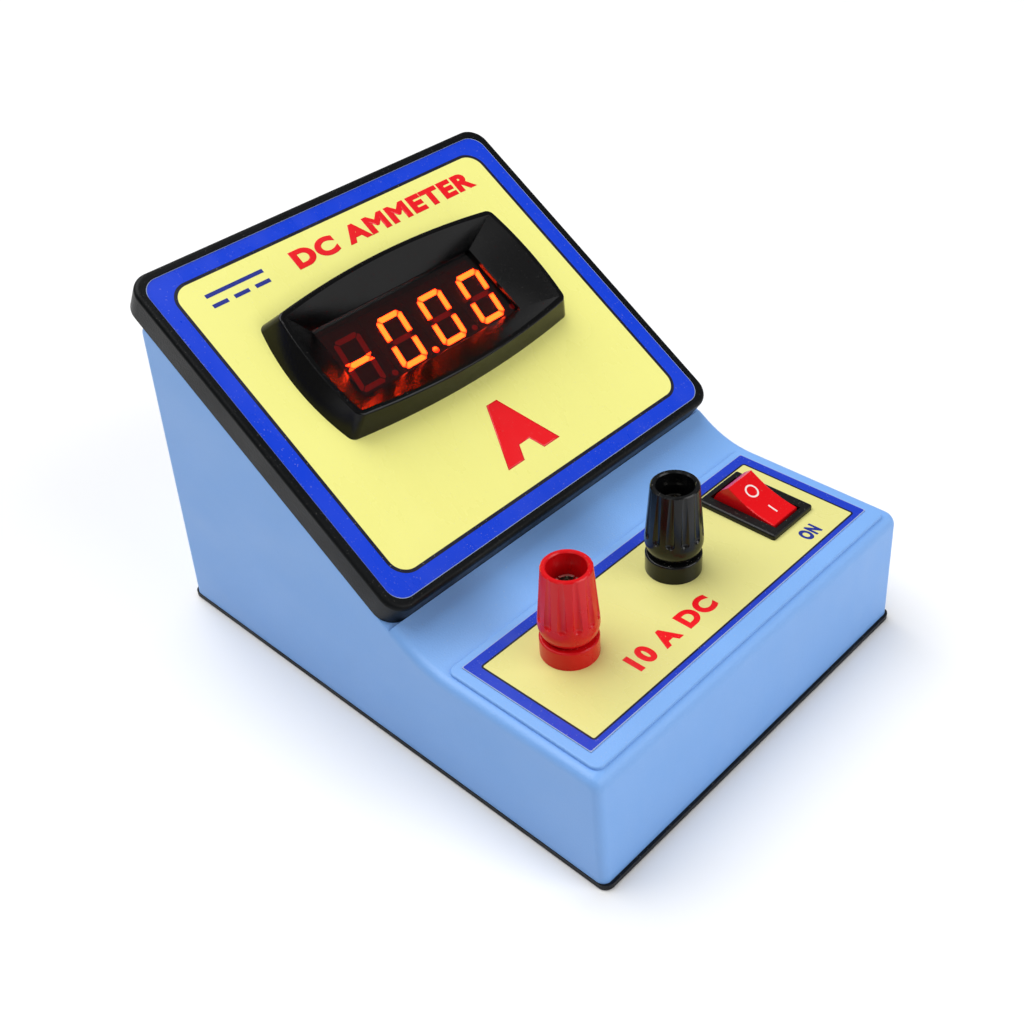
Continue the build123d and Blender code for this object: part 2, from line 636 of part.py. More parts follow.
def segment_outlines():
    """The seven bars of one digit about its middle, upright."""
    w, h = SEGMENT_HALF
    t, c, g = SEGMENT_WIDE, SEGMENT_CORNER, SEGMENT_GAP
    top = [(c / 2 + g - w, h - c / 2), (c - w, h), (w - c, h), (w - c / 2 - g, h - c / 2)]
    top += [(w - t - g, h - t), (t + g - w, h - t)]
    side = [(w - c / 2, h - c / 2 - g), (w, h - c), (w, g + t / 2), (w - t / 2, g)]
    side += [(w - t, g + t / 2), (w - t, h - t - g)]
    middle = [(t / 2 + g - w, 0), (t + g - w, t / 2), (w - t - g, t / 2)]
    middle += [(w - t / 2 - g, 0), (w - t - g, -t / 2), (t + g - w, -t / 2)]
    bars = [top, mirrored(top, 1, -1), middle]
    bars += [mirrored(side, x, y) for x in (-1, 1) for y in (-1, 1)]
    return bars


def segments_sketch(plane):
    """All the bars and the point of one digit, slanted, on that plane."""
    lean = tan(radians(SEGMENT_SLANT))
    with BuildSketch(plane) as lights:
        for bar in segment_outlines():
            Polygon(*[(a + b * lean, b) for a, b in bar], align=None)
        with Locations(POINT_AT):
            Circle(POINT_R)
    return lights.sketch


digits_mid = moved_plane(bezel_foot, *DIGITS_SHIFT, -DIGIT_BELOW)
digit_deep = NECK_DEPTH - DIGIT_BELOW
for number in range(DIGIT_COUNT):
    shift = (number - (DIGIT_COUNT - 1) / 2) * DIGIT_PITCH
    digit_face = moved_plane(digits_mid, shift, 0)
    lights = segments_sketch(digit_face)
    with BuildPart() as digit:
        with BuildSketch(digit_face.offset(-digit_deep)):
            Rectangle(DIGIT_WIDTH, DIGIT_LENGTH)
        extrude(amount=digit_deep)
        with BuildSketch(digit_face.offset(-digit_deep - PIN_LENGTH)):
            with GridLocations(CHIP_LEG_PITCH, 2 * PIN_ROW, DIGIT_COUNT, 2):
                Circle(PIN_R)
        extrude(amount=PIN_LENGTH)
        extrude(lights, amount=-SEGMENT_DEEP, mode=Mode.SUBTRACT)
    keep(digit, f"digit_{number + 1}")
    with BuildPart() as segments:
        extrude(lights, amount=-SEGMENT_DEEP)
    keep(segments, f"digit_segments_{number + 1}")

# ---- display_board: carries the digits in front and the converter behind -----------------
board_rear = bezel_foot.offset(-NECK_DEPTH - BOARD_THICK)
with BuildPart() as display_board:
    with BuildSketch(board_rear):
        Rectangle(*DISPLAY_BOARD)
        with Locations(*neck_screw_spots):
            Circle(BOARD_SCREW_R + FIT_GAP, mode=Mode.SUBTRACT)
        for number in range(DIGIT_COUNT):
            shift = (number - (DIGIT_COUNT - 1) / 2) * DIGIT_PITCH
            with Locations((DIGITS_SHIFT[0] + shift, DIGITS_SHIFT[1])):
                with GridLocations(CHIP_LEG_PITCH, 2 * PIN_ROW, DIGIT_COUNT, 2):
                    Circle(PIN_R + RUNNING, mode=Mode.SUBTRACT)
    extrude(amount=BOARD_THICK)
keep(display_board, "display_board")

with BuildPart() as display_board_screws:
    with Locations(*[
        board_rear * Location((x, y, 0), (180, 0, 0)) for x, y in neck_screw_spots
    ]):
        add(pan_screw(BOARD_HEAD_R, BOARD_HEAD, BOARD_SCREW_R, BOARD_THICK + NECK_SCREW_DEEP))
keep(display_board_screws, "display_board_screws")

# ---- converter_chip: forty-leg voltmeter chip on the back of the display board -----------
chip_top = board_rear.offset(-CHIP_STANDOFF)
with BuildPart() as converter_chip:
    with BuildSketch(chip_top):
        with Locations((0, -CHIP_DOWN)):
            Rectangle(CHIP[0], CHIP[1])
    extrude(amount=-CHIP[2])
    with BuildSketch(board_rear):
        with Locations((0, -CHIP_DOWN)):
            with GridLocations(CHIP_LEG_PITCH, CHIP[1] + CHIP_LEG[1], CHIP_LEGS, 2):
                Rectangle(CHIP_LEG[0], CHIP_LEG[1])
    extrude(amount=-CHIP_LEG[2])
keep(converter_chip, "converter_chip")

# ---- film_capacitors: three box capacitors beside the chip -------------------------------
with BuildPart() as film_capacitors:
    with BuildSketch(board_rear):
        with Locations(*[(x, FILM_CAP_UP) for x in FILM_CAP_AT]):
            Rectangle(FILM_CAP[0], FILM_CAP[1])
    extrude(amount=-FILM_CAP[2])
    fillet(film_capacitors.edges().filter_by(Axis(panel.origin, panel.z_dir)), WALL / 4)
keep(film_capacitors, "film_capacitors")

# ---- trimmer: calibration preset with a turning screw ------------------------------------
trimmer_out = moved_plane(board_rear, *TRIMMER_AT, -TRIMMER[2])
screw_seat = trimmer_out.offset(TRIMMER_SCREW_DEEP)
with BuildPart() as trimmer_body:
    with BuildSketch(trimmer_out):
        Rectangle(TRIMMER[0], TRIMMER[1])
    extrude(amount=TRIMMER[2])
    with BuildSketch(trimmer_out):
        Circle(TRIMMER_SCREW_R + RUNNING)
    extrude(amount=TRIMMER_SCREW_DEEP, mode=Mode.SUBTRACT)
keep(trimmer_body, "trimmer_body")

with BuildPart() as trimmer_screw:
    with BuildSketch(screw_seat.offset(-RUNNING)):
        Circle(TRIMMER_SCREW_R)
    extrude(amount=RUNNING - TRIMMER_SCREW_DEEP - TRIMMER_SCREW_PROUD)
    with BuildSketch(trimmer_out.offset(-TRIMMER_SCREW_PROUD)):
        Rectangle(TRIMMER_SLOT[0], 2 * TRIMMER_SCREW_R)
    extrude(amount=TRIMMER_SLOT[1], mode=Mode.SUBTRACT)
keep(trimmer_screw, "trimmer_screw")

# ---- binding posts: flanged base, stud with a 4 mm socket, bush and screw-down cap -------
cap_foot = POST_FLANGE + CAP_GAP
flute_length = CAP_TOP - FLUTE_FROM
cap_rate = (cap_wide_r - cap_top_r) / (CAP_TOP - CAP_WIDE_AT)
flute_low_r = cap_wide_r - (FLUTE_FROM - CAP_WIDE_AT) * cap_rate + FLUTE_R - FLUTE_DEEP
flute_high_r = cap_top_r + FLUTE_R - FLUTE_TOP_DEEP
flute_tilt = degrees(atan2(flute_low_r - flute_high_r, flute_length))
flute_mid = ((flute_low_r + flute_high_r) / 2, 0, FLUTE_FROM + flute_length / 2)
mouth_floor = CAP_TOP - MOUTH_DEEP
for colour, post_x in post_spots.items():
    post_plane = Plane((post_x, post_y, deck_face))
    profile_plane = upright(post_x, post_y, deck_face)
    post_axis = Axis((post_x, post_y, 0), (0, 0, 1))
    neck_foot = deck_under - deck_face + 2 * FIT_GAP

    with BuildPart() as post_base:
        with BuildSketch(profile_plane):
            with BuildLine():
                Polyline(
                    (STUD_R + FIT_GAP, neck_foot), (neck_r, neck_foot), (neck_r, 0),
                    (flange_r, 0), (flange_r, POST_FLANGE),
                    (collar_r + FIT_GAP, POST_FLANGE), (collar_r + FIT_GAP, POST_FLANGE - COLLAR),
                    (STUD_R + FIT_GAP, POST_FLANGE - COLLAR), close=True,
                )
            make_face()
        revolve(axis=post_axis)
        rim_edges = post_base.edges().filter_by(GeomType.CIRCLE).group_by(Axis.Z)[-1]
        fillet(rim_edges.sort_by(SortBy.RADIUS)[-1], WALL / 5)
    keep(post_base, f"{colour}_post_base")

    with BuildPart() as post_stud:
        stud_foot = deck_under - deck_face - STUD_BELOW
        with BuildSketch(profile_plane):
            with BuildLine():
                Polyline(
                    (0, stud_foot), (STUD_R, stud_foot), (STUD_R, POST_FLANGE - COLLAR),
                    (collar_r, POST_FLANGE - COLLAR), (collar_r, POST_FLANGE),
                    (STUD_R, POST_FLANGE), (STUD_R, STUD_TOP - TUBE_LENGTH),
                    (tube_r, STUD_TOP - TUBE_LENGTH), (tube_r, STUD_TOP),
                    (SOCKET_R, STUD_TOP), (SOCKET_R, STUD_TOP - SOCKET_DEEP),
                    (0, STUD_TOP - SOCKET_DEEP - SOCKET_R / 2), close=True,
                )
            make_face()
        revolve(axis=post_axis)
        with BuildSketch(post_plane.offset(STUD_TOP)):
            Rectangle(TUBE_SLOT, 3 * STUD_R)
            Rectangle(3 * STUD_R, TUBE_SLOT)
        extrude(amount=-TUBE_SLOT_DEEP, mode=Mode.SUBTRACT)
    keep(post_stud, f"{colour}_post_stud")

    with BuildPart() as post_cap:
        with BuildSketch(profile_plane):
            with BuildLine():
                ThreePointArc(
                    (cap_foot_r, cap_foot),
                    ((cap_foot_r + 2 * cap_wide_r) / 3, (2 * cap_foot + CAP_WIDE_AT) / 3),
                    (cap_wide_r, CAP_WIDE_AT),
                )
                Polyline(
                    (cap_wide_r, CAP_WIDE_AT), (cap_top_r, CAP_TOP - CAP_EASE),
                    (cap_top_r - CAP_EASE, CAP_TOP), (mouth_r + CAP_EASE, CAP_TOP),
                    (mouth_r, CAP_TOP - CAP_EASE), (mouth_r, mouth_floor),
                    (STUD_R + CAP_BORE_PLAY, mouth_floor),
                    (STUD_R + CAP_BORE_PLAY, cap_foot + BUSH + RUNNING),
                    (bush_r + RUNNING, cap_foot + BUSH + RUNNING),
                    (bush_r + RUNNING, cap_foot), (cap_foot_r, cap_foot),
                )
            make_face()
        revolve(axis=post_axis)
        with Locations(post_plane):
            with PolarLocations(0, FLUTES):
                with Locations(Location(flute_mid, (0, -flute_tilt, 0))):
                    Cylinder(FLUTE_R, flute_length, mode=Mode.SUBTRACT)
                    with Locations((0, 0, -flute_length / 2)):
                        Sphere(FLUTE_R, mode=Mode.SUBTRACT)
                    with Locations((0, 0, flute_length / 2)):
                        Cylinder(FLUTE_R, FLUTE_R, mode=Mode.SUBTRACT)
    keep(post_cap, f"{colour}_post_cap")

    with BuildPart() as post_bush:
        with BuildSketch(post_plane.offset(cap_foot)):
            Circle(bush_r)
            Circle(STUD_R + RUNNING, mode=Mode.SUBTRACT)
        extrude(amount=BUSH)
    keep(post_bush, f"{colour}_post_bush")

# ---- what clamps the posts under the deck: washers, tags, nuts and the shunt -------------
tag_z = deck_under - WASHER
upper_nut_z = tag_z - TAG
shunt_z = upper_nut_z - NUT
lower_nut_z = shunt_z - SHUNT_THICK
post_centres = [(x, post_y) for x in post_spots.values()]
with BuildPart() as post_washers:
    with BuildSketch(Plane.XY.offset(deck_under)):
        with Locations(*post_centres):
            Circle(washer_r)
            Circle(STUD_R + FIT_GAP, mode=Mode.SUBTRACT)
    extrude(amount=-WASHER)
keep(post_washers, "post_washers")

with BuildPart() as solder_tags:
    with BuildSketch(Plane.XY.offset(tag_z)):
        with Locations(*post_centres):
            Circle(nut_across / 2)
            Rectangle(nut_across / 2, TAG_LENGTH, align=(Align.CENTER, Align.MIN))
            Circle(STUD_R + FIT_GAP, mode=Mode.SUBTRACT)
            with Locations((0, TAG_LENGTH - nut_across / 4)):
                Circle(nut_across / 10, mode=Mode.SUBTRACT)
    extrude(amount=-TAG)
keep(solder_tags, "solder_tags")

with BuildPart() as post_nuts:
    for nut_z in (upper_nut_z, lower_nut_z):
        with BuildSketch(Plane.XY.offset(nut_z)):
            with Locations(*post_centres):
                RegularPolygon(nut_across / 2, 6, major_radius=False)
                Circle(STUD_R + FIT_GAP, mode=Mode.SUBTRACT)
        extrude(amount=-NUT)
keep(post_nuts, "post_nuts")

with BuildPart() as shunt:
    with BuildSketch(Plane.XY.offset(shunt_z)):
        with Locations((POST_MIDDLE, post_y)):
            Rectangle(POST_SPACING, SHUNT_WIDE)
            with GridLocations(POST_SPACING / 4, SHUNT_WIDE, 2, 2):
                Circle(SHUNT_NOTCH, mode=Mode.SUBTRACT)
        with Locations(*post_centres):
            Circle(nut_across / 2)
            Circle(STUD_R + FIT_GAP, mode=Mode.SUBTRACT)
    extrude(amount=-SHUNT_THICK)
keep(shunt, "shunt")

# ---- rocker switch ------------------------------------------------------------------------
pivot = (SWITCH_X, switch_y, deck_face - PIVOT_BELOW)
switch_floor = SWITCH_FLOOR - SWITCH_DEEP
lever_top = -PLUNGER_TIP - LEVER_CLEAR
lever_mid = lever_top - LEVER[2] / 2
tilt = radians(ROCKER_TILT)
lever_lean = radians(LEVER_TILT)
switch_plane = Plane((SWITCH_X, switch_y, deck_face))
rocker_plane = Plane(pivot, x_dir=(1, 0, 0), z_dir=(0, -sin(tilt), cos(tilt)))
rocker_side = Plane(pivot, x_dir=rocker_plane.y_dir, z_dir=(1, 0, 0))
pivot_plane = Plane(pivot)
blade_slot = (TERMINAL[0] + 2 * FIT_GAP, TERMINAL[1] + 2 * FIT_GAP)
with BuildPart() as switch_housing:
    with BuildSketch(switch_plane):
        RectangleRounded(*switch_bezel, SWITCH_SNAP)
    extrude(amount=SWITCH_BEZEL_RISE)
    fillet(switch_housing.edges().group_by(Axis.Z)[-1], SWITCH_SNAP)
    with BuildSketch(switch_plane):
        Rectangle(*switch_body)
    extrude(amount=-SWITCH_DEEP)
    for side in (-1, 1):
        side_x = side * switch_body[0] / 2
        snap_z = deck_under - deck_face - FIT_GAP
        with BuildSketch(upright(SWITCH_X, switch_y, deck_face)):
            with BuildLine():
                Polyline(
                    (side_x - side * WALL / 2, snap_z),
                    (side_x + side * SWITCH_SNAP, snap_z),
                    (side_x - side * WALL / 2, snap_z - WALL),
                    close=True,
                )
            make_face()
        extrude(amount=switch_body[1] / 4, both=True)
    with BuildSketch(switch_plane.offset(switch_floor)):
        Rectangle(SWITCH_WINDOW, window_length)
    extrude(amount=SWITCH_DEEP + SWITCH_BEZEL_RISE, mode=Mode.SUBTRACT)
    with BuildSketch(Plane(pivot, x_dir=(0, 1, 0), z_dir=(1, 0, 0))):
        Circle(PIVOT_R + RUNNING)
    pivot_hole = ROCKER_WIDTH / 2 + PIVOT_REACH + 2 * RUNNING
    extrude(amount=pivot_hole, both=True, mode=Mode.SUBTRACT)
    with BuildSketch(switch_plane.offset(-SWITCH_DEEP)):
        with Locations((0, 0), (0, END_TERMINAL_AT)):
            Rectangle(*blade_slot)
    extrude(amount=SWITCH_FLOOR, mode=Mode.SUBTRACT)
keep(switch_housing, "switch_housing")

with BuildPart() as switch_rocker:
    skirt_y = sqrt(rocker_end_r**2 - ROCKER_SKIRT**2)
    with BuildSketch(rocker_side):
        with BuildLine():
            ThreePointArc(
                (-ROCKER_HALF, ROCKER_TALL), (0, ROCKER_TALL - ROCKER_DISH), (ROCKER_HALF, ROCKER_TALL)
            )
            ThreePointArc(
                (ROCKER_HALF, ROCKER_TALL), (rocker_end_r, 0), (skirt_y, -ROCKER_SKIRT)
            )
            Line((skirt_y, -ROCKER_SKIRT), (-skirt_y, -ROCKER_SKIRT))
            ThreePointArc(
                (-skirt_y, -ROCKER_SKIRT), (-rocker_end_r, 0), (-ROCKER_HALF, ROCKER_TALL)
            )
        make_face()
    extrude(amount=ROCKER_WIDTH / 2, both=True)
    top_edges = switch_rocker.edges().sort_by(Axis(pivot, rocker_plane.z_dir))[-5:]
    fillet(top_edges, WALL / 8)
    with BuildSketch(rocker_side):
        Circle(PIVOT_R)
    extrude(amount=ROCKER_WIDTH / 2 + PIVOT_REACH, both=True)
    with BuildSketch(rocker_plane.offset(-STEM_END)):
        Circle(STEM_R)
    extrude(amount=STEM_END)
    with BuildSketch(rocker_plane.offset(-STEM_END)):
        Circle(STEM_BORE_R)
    extrude(amount=STEM_END + STEM_BORE_TOP, mode=Mode.SUBTRACT)
keep(switch_rocker, "switch_rocker")

with BuildPart() as switch_plunger:
    with BuildSketch(rocker_plane.offset(-PLUNGER_TIP)):
        Circle(PLUNGER_R)
    extrude(amount=PLUNGER_LENGTH)
    tip = switch_plunger.edges().sort_by(Axis(pivot, rocker_plane.z_dir))[0]
    fillet(tip, PLUNGER_R - RUNNING)
keep(switch_plunger, "switch_plunger")

spring_low = PLUNGER_LENGTH - PLUNGER_TIP + SPRING_WIRE / 2 + RUNNING
spring_high = STEM_BORE_TOP - SPRING_WIRE / 2 - RUNNING
spring_r = STEM_BORE_R - SPRING_WIRE / 2 - RUNNING
spring_foot = rocker_plane.offset(spring_low).origin
with BuildPart() as switch_spring:
    with BuildLine():
        coil = Helix(
            pitch=(spring_high - spring_low) / SPRING_TURNS,
            height=spring_high - spring_low,
            radius=spring_r,
            center=spring_foot,
            direction=rocker_plane.z_dir,
        )
    with BuildSketch(Plane(coil @ 0, z_dir=coil % 0)):
        Circle(SPRING_WIRE / 2)
    sweep()
keep(switch_spring, "switch_spring")

lever_centre = (SWITCH_X, switch_y, pivot[2] + lever_mid)
lever_plane = Plane(lever_centre, x_dir=(1, 0, 0), z_dir=(0, sin(lever_lean), cos(lever_lean)))
with BuildPart() as contact_lever:
    with BuildSketch(lever_plane.offset(-LEVER[2] / 2)):
        RectangleRounded(LEVER[0], LEVER[1], LEVER[0] / 4)
    extrude(amount=LEVER[2])
keep(contact_lever, "contact_lever")

lever_rest_drop = LEVER[1] / 2 * sin(lever_lean) + LEVER[2] / 2 * cos(lever_lean)
blade_foot = -SWITCH_DEEP - TERMINAL_BELOW + PIVOT_BELOW
fulcrum_top = lever_mid - LEVER[2] / 2 - 2 * RUNNING
contact_top = lever_mid - lever_rest_drop - 2 * RUNNING
with BuildPart() as centre_terminal:
    with BuildSketch(pivot_plane.offset(blade_foot)):
        Rectangle(*TERMINAL)
    extrude(amount=fulcrum_top - blade_foot)
    with BuildSketch(upright(*pivot)):
        with Locations((0, blade_foot + TERMINAL[0] / 2)):
            Circle(TERMINAL[1])
    extrude(amount=TERMINAL[0], both=True, mode=Mode.SUBTRACT)
keep(centre_terminal, "centre_terminal")

with BuildPart() as end_terminal:
    with BuildSketch(pivot_plane.offset(blade_foot)):
        with Locations((0, END_TERMINAL_AT)):
            Rectangle(*TERMINAL)
    extrude(amount=contact_top - blade_foot)
    with BuildSketch(pivot_plane.offset(contact_top)):
        with Locations((0, END_TERMINAL_AT + TERMINAL[1] / 2)):
            Rectangle(TERMINAL[0], CONTACT_WIDE, align=(Align.CENTER, Align.MAX))
    extrude(amount=-TERMINAL[1])
    with BuildSketch(upright(*pivot)):
        with Locations((0, blade_foot + TERMINAL[0] / 2)):
            Circle(TERMINAL[1])
    extrude(amount=2 * END_TERMINAL_AT, both=True, mode=Mode.SUBTRACT)
keep(end_terminal, "end_terminal")

# ---- power board on four standoffs ---------------------------------------------------------
board_low = BASE_THICK + STANDOFF
board_top = board_low + BOARD_THICK
board_plane = Plane((*POWER_BOARD_AT, board_top))
standoff_thread = STANDOFF / 2 - 2 * FIT_GAP
with BuildPart() as board_standoffs:
    with BuildSketch(Plane.XY.offset(BASE_THICK)):
        with Locations(*standoff_spots):
            RegularPolygon(STANDOFF_R, 6, major_radius=False)
            Circle(SCREW_R + RUNNING, mode=Mode.SUBTRACT)
    extrude(amount=STANDOFF)
keep(board_standoffs, "board_standoffs")

with BuildPart() as standoff_screws:
    with Locations(*standoff_spots):
        add(countersunk_screw(CSK_R, CSK_DEEP, SCREW_R, BASE_THICK + standoff_thread))
keep(standoff_screws, "standoff_screws")

with BuildPart() as power_board:
    with BuildSketch(Plane.XY.offset(board_low)):
        with Locations(POWER_BOARD_AT):
            Rectangle(*POWER_BOARD)
        with Locations(*standoff_spots):
            Circle(SCREW_R + FIT_GAP, mode=Mode.SUBTRACT)
    extrude(amount=BOARD_THICK)
keep(power_board, "power_board")

with BuildPart() as power_board_screws:
    with Locations(*[(x, y, board_top) for x, y in standoff_spots]):
        add(pan_screw(BOARD_HEAD_R, BOARD_HEAD, SCREW_R, BOARD_THICK + standoff_thread))
keep(power_board_screws, "power_board_screws")

with BuildPart() as bridge_rectifier:
    with BuildSketch(board_plane):
        with Locations(RECTIFIER_AT):
            Rectangle(RECTIFIER[0], RECTIFIER[1])
    extrude(amount=RECTIFIER[2])
    fillet(bridge_rectifier.edges().filter_by(Axis.Z), WALL / 4)
keep(bridge_rectifier, "bridge_rectifier")

with BuildPart() as smoothing_capacitor:
    with BuildSketch(board_plane):
        with Locations(CAP_CAN_AT):
            Circle(CAP_CAN_R)
    extrude(amount=CAP_CAN)
    fillet(smoothing_capacitor.edges().group_by(Axis.Z)[-1], WALL / 3)
keep(smoothing_capacitor, "smoothing_capacitor")

with BuildPart() as voltage_regulator:
    with BuildSketch(board_plane):
        with Locations(REGULATOR_AT):
            with GridLocations(CHIP_LEG_PITCH, 0, 3, 1):
                Rectangle(REGULATOR_LEG, REGULATOR_LEG)
    extrude(amount=REGULATOR_LIFT)
    with BuildSketch(board_plane.offset(REGULATOR_LIFT)):
        with Locations(REGULATOR_AT):
            Rectangle(REGULATOR[0], REGULATOR[1])
    extrude(amount=REGULATOR[2])
    with BuildSketch(moved_plane(board_plane, *REGULATOR_AT, REGULATOR_LIFT + REGULATOR[2])):
        with Locations((0, REGULATOR[1] / 2)):
            Rectangle(REGULATOR[0], REGULATOR_TAB[0], align=(Align.CENTER, Align.MAX))
    extrude(amount=REGULATOR_TAB[1])
    tab_mid = REGULATOR_LIFT + REGULATOR[2] + REGULATOR_TAB[1] / 2
    hole_spot = board_plane.from_local_coords((*REGULATOR_AT, tab_mid))
    with BuildSketch(Plane(hole_spot, x_dir=(1, 0, 0), z_dir=(0, -1, 0))):
        Circle(REGULATOR[0] / 6)
    extrude(amount=REGULATOR[0], both=True, mode=Mode.SUBTRACT)
keep(voltage_regulator, "voltage_regulator")

fuse_z = board_top + FUSE_R + FUSE_UNDER
fuse_x, fuse_y = POWER_BOARD_AT[0] + FUSE_AT[0], POWER_BOARD_AT[1] + FUSE_AT[1]
fuse_plane = Plane((fuse_x, fuse_y, fuse_z), x_dir=(1, 0, 0), z_dir=(0, -1, 0))
with BuildPart() as fuse:
    with BuildSketch(fuse_plane):
        Circle(FUSE_R)
    extrude(amount=FUSE_LENGTH / 2, both=True)
keep(fuse, "fuse")

with BuildPart() as fuse_clips:
    for side in (-1, 1):
        clip_y = side * (FUSE_LENGTH - FUSE_CLIP) / 2
        with BuildSketch(fuse_plane.offset(clip_y)):
            Circle(FUSE_R + FIT_GAP + FUSE_METAL)
            with Locations((0, (board_top - fuse_z) / 2)):
                Rectangle(FUSE_R, fuse_z - board_top)
            Circle(FUSE_R + FIT_GAP, mode=Mode.SUBTRACT)
            with Locations((0, 2 * FUSE_R)):
                Rectangle(3 * FUSE_R, 3 * FUSE_R, mode=Mode.SUBTRACT)
        extrude(amount=FUSE_CLIP / 2, both=True)
keep(fuse_clips, "fuse_clips")

# ---- transformer: laminated core, bobbin with its winding, and a steel strap --------------
core_plane = Plane(
    (TRANSFORMER_AT[0], TRANSFORMER_AT[1], BASE_THICK + CORE[2] / 2), x_dir=(0, 1, 0), z_dir=(1, 0, 0)
)
window_shift = (CORE_LEG + CORE_WINDOW[0]) / 2
with BuildPart() as transformer_core:
    with BuildSketch(core_plane):
        Rectangle(CORE[0], CORE[2])
        with Locations((-window_shift, 0), (window_shift, 0)):
            Rectangle(*CORE_WINDOW, mode=Mode.SUBTRACT)
    extrude(amount=CORE[1] / 2, both=True)
keep(transformer_core, "transformer_core")

bobbin_height = CORE_WINDOW[1] - 2 * FIT_GAP
bobbin_plane = Plane((*TRANSFORMER_AT, BASE_THICK + (CORE[2] - bobbin_height) / 2))
leg_hole = (CORE[1] + 2 * FIT_GAP, CORE_LEG + 2 * FIT_GAP)
tube = (leg_hole[0] + 2 * BOBBIN_TUBE, leg_hole[1] + 2 * BOBBIN_TUBE)
wound = (tube[0] + 2 * WINDING_REACH, tube[1] + 2 * WINDING_REACH)
with BuildPart() as transformer_bobbin:
    with BuildSketch(bobbin_plane):
        Rectangle(*tube)
    extrude(amount=bobbin_height)
    for level in (0, bobbin_height - BOBBIN_FLANGE):
        with BuildSketch(bobbin_plane.offset(level)):
            RectangleRounded(*wound, WALL / 2)
        extrude(amount=BOBBIN_FLANGE)
    with BuildSketch(bobbin_plane):
        Rectangle(*leg_hole)
    extrude(amount=bobbin_height, mode=Mode.SUBTRACT)
keep(transformer_bobbin, "transformer_bobbin")

with BuildPart() as transformer_winding:
    with BuildSketch(bobbin_plane.offset(BOBBIN_FLANGE)):
        RectangleRounded(wound[0] - 2 * FIT_GAP, wound[1] - 2 * FIT_GAP, WALL)
        Rectangle(*tube, mode=Mode.SUBTRACT)
    extrude(amount=bobbin_height - 2 * BOBBIN_FLANGE)
keep(transformer_winding, "transformer_winding")

with BuildPart() as transformer_strap:
    strap_half = CORE[0] / 2 + BRACKET
    with BuildSketch(core_plane):
        with Locations((0, BRACKET / 2)):
            Rectangle(2 * strap_half, CORE[2] + BRACKET)
        with Locations((0, (BRACKET - CORE[2]) / 2)):
            Rectangle(2 * (strap_half + BRACKET_EAR), BRACKET)
        Rectangle(CORE[0], CORE[2], mode=Mode.SUBTRACT)
    extrude(amount=BRACKET_WIDE / 2, both=True)
    with BuildSketch(Plane.XY.offset(BASE_THICK)):
        with Locations(*transformer_spots):
            Circle(SCREW_R + FIT_GAP)
    extrude(amount=BRACKET, mode=Mode.SUBTRACT)
keep(transformer_strap, "transformer_strap")

with BuildPart() as transformer_screws:
    with Locations(*transformer_spots):
        add(countersunk_screw(CSK_R, CSK_DEEP, SCREW_R, BASE_THICK + BRACKET + NUT_M3[1] + RUNNING))
keep(transformer_screws, "transformer_screws")

with BuildPart() as transformer_nuts:
    with BuildSketch(Plane.XY.offset(BASE_THICK + BRACKET)):
        with Locations(*transformer_spots):
            RegularPolygon(NUT_M3[0] / 2, 6, major_radius=False)
            Circle(SCREW_R + RUNNING, mode=Mode.SUBTRACT)
    extrude(amount=NUT_M3[1])
keep(transformer_nuts, "transformer_nuts")

# ---- cord_grommet: rubber ring in the rear wall -------------------------------------------
with BuildPart() as cord_grommet:
    with BuildSketch(rear_face):
        Circle(GROMMET_LIP_R)
    extrude(amount=GROMMET_LIP)
    with BuildSketch(rear_face):
        Circle(GROMMET_HOLE_R)
    extrude(amount=-WALL)
    with BuildSketch(rear_face.offset(-WALL)):
        Circle(GROMMET_LIP_R - WALL / 4)
    extrude(amount=-GROMMET_LIP)
    rear_axis = Axis(rear_face.origin, rear_face.z_dir)
    lip_edges = cord_grommet.edges().filter_by(GeomType.CIRCLE).sort_by(rear_axis)
    fillet(lip_edges[-1], GROMMET_LIP / 2)
    with BuildSketch(rear_face.offset(GROMMET_LIP)):
        Circle(CORD_BORE_R)
    extrude(amount=-2 * GROMMET_LIP - WALL, mode=Mode.SUBTRACT)
keep(cord_grommet, "cord_grommet")
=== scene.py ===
"""Looks of a bench ammeter: a light-blue plastic case with a sloping printed panel, a lit
four-digit display, two screw-down 4 mm posts and a red rocker switch. Metres, +Z up."""
import json
from math import atan2, cos, pi, radians, sin, tan

import bmesh
import bpy
from mathutils import Matrix, Vector
from mathutils.bvhtree import BVHTree


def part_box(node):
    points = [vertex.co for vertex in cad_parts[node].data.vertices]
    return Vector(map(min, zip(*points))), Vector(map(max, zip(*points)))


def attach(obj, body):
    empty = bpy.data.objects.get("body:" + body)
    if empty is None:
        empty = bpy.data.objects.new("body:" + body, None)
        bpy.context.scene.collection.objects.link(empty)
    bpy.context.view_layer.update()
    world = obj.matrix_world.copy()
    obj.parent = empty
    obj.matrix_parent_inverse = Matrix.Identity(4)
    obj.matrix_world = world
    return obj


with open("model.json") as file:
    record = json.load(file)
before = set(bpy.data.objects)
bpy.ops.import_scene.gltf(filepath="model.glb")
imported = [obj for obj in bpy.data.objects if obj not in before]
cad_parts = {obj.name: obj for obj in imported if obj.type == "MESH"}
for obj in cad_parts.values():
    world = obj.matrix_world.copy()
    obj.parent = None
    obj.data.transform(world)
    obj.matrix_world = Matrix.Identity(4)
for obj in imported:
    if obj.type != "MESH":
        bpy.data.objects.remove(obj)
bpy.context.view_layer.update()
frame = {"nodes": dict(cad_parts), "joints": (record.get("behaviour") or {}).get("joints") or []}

# ---- Case --------------------------------------------------------------------------------
# One moulding in light-blue ABS with a fine satin texture. The deck in front carries the posts
# and the switch, and the panel covers the opening in the slope.
MM = 0.001
nodes = frame["nodes"]
joints = {joint["name"]: joint for joint in frame["joints"]}


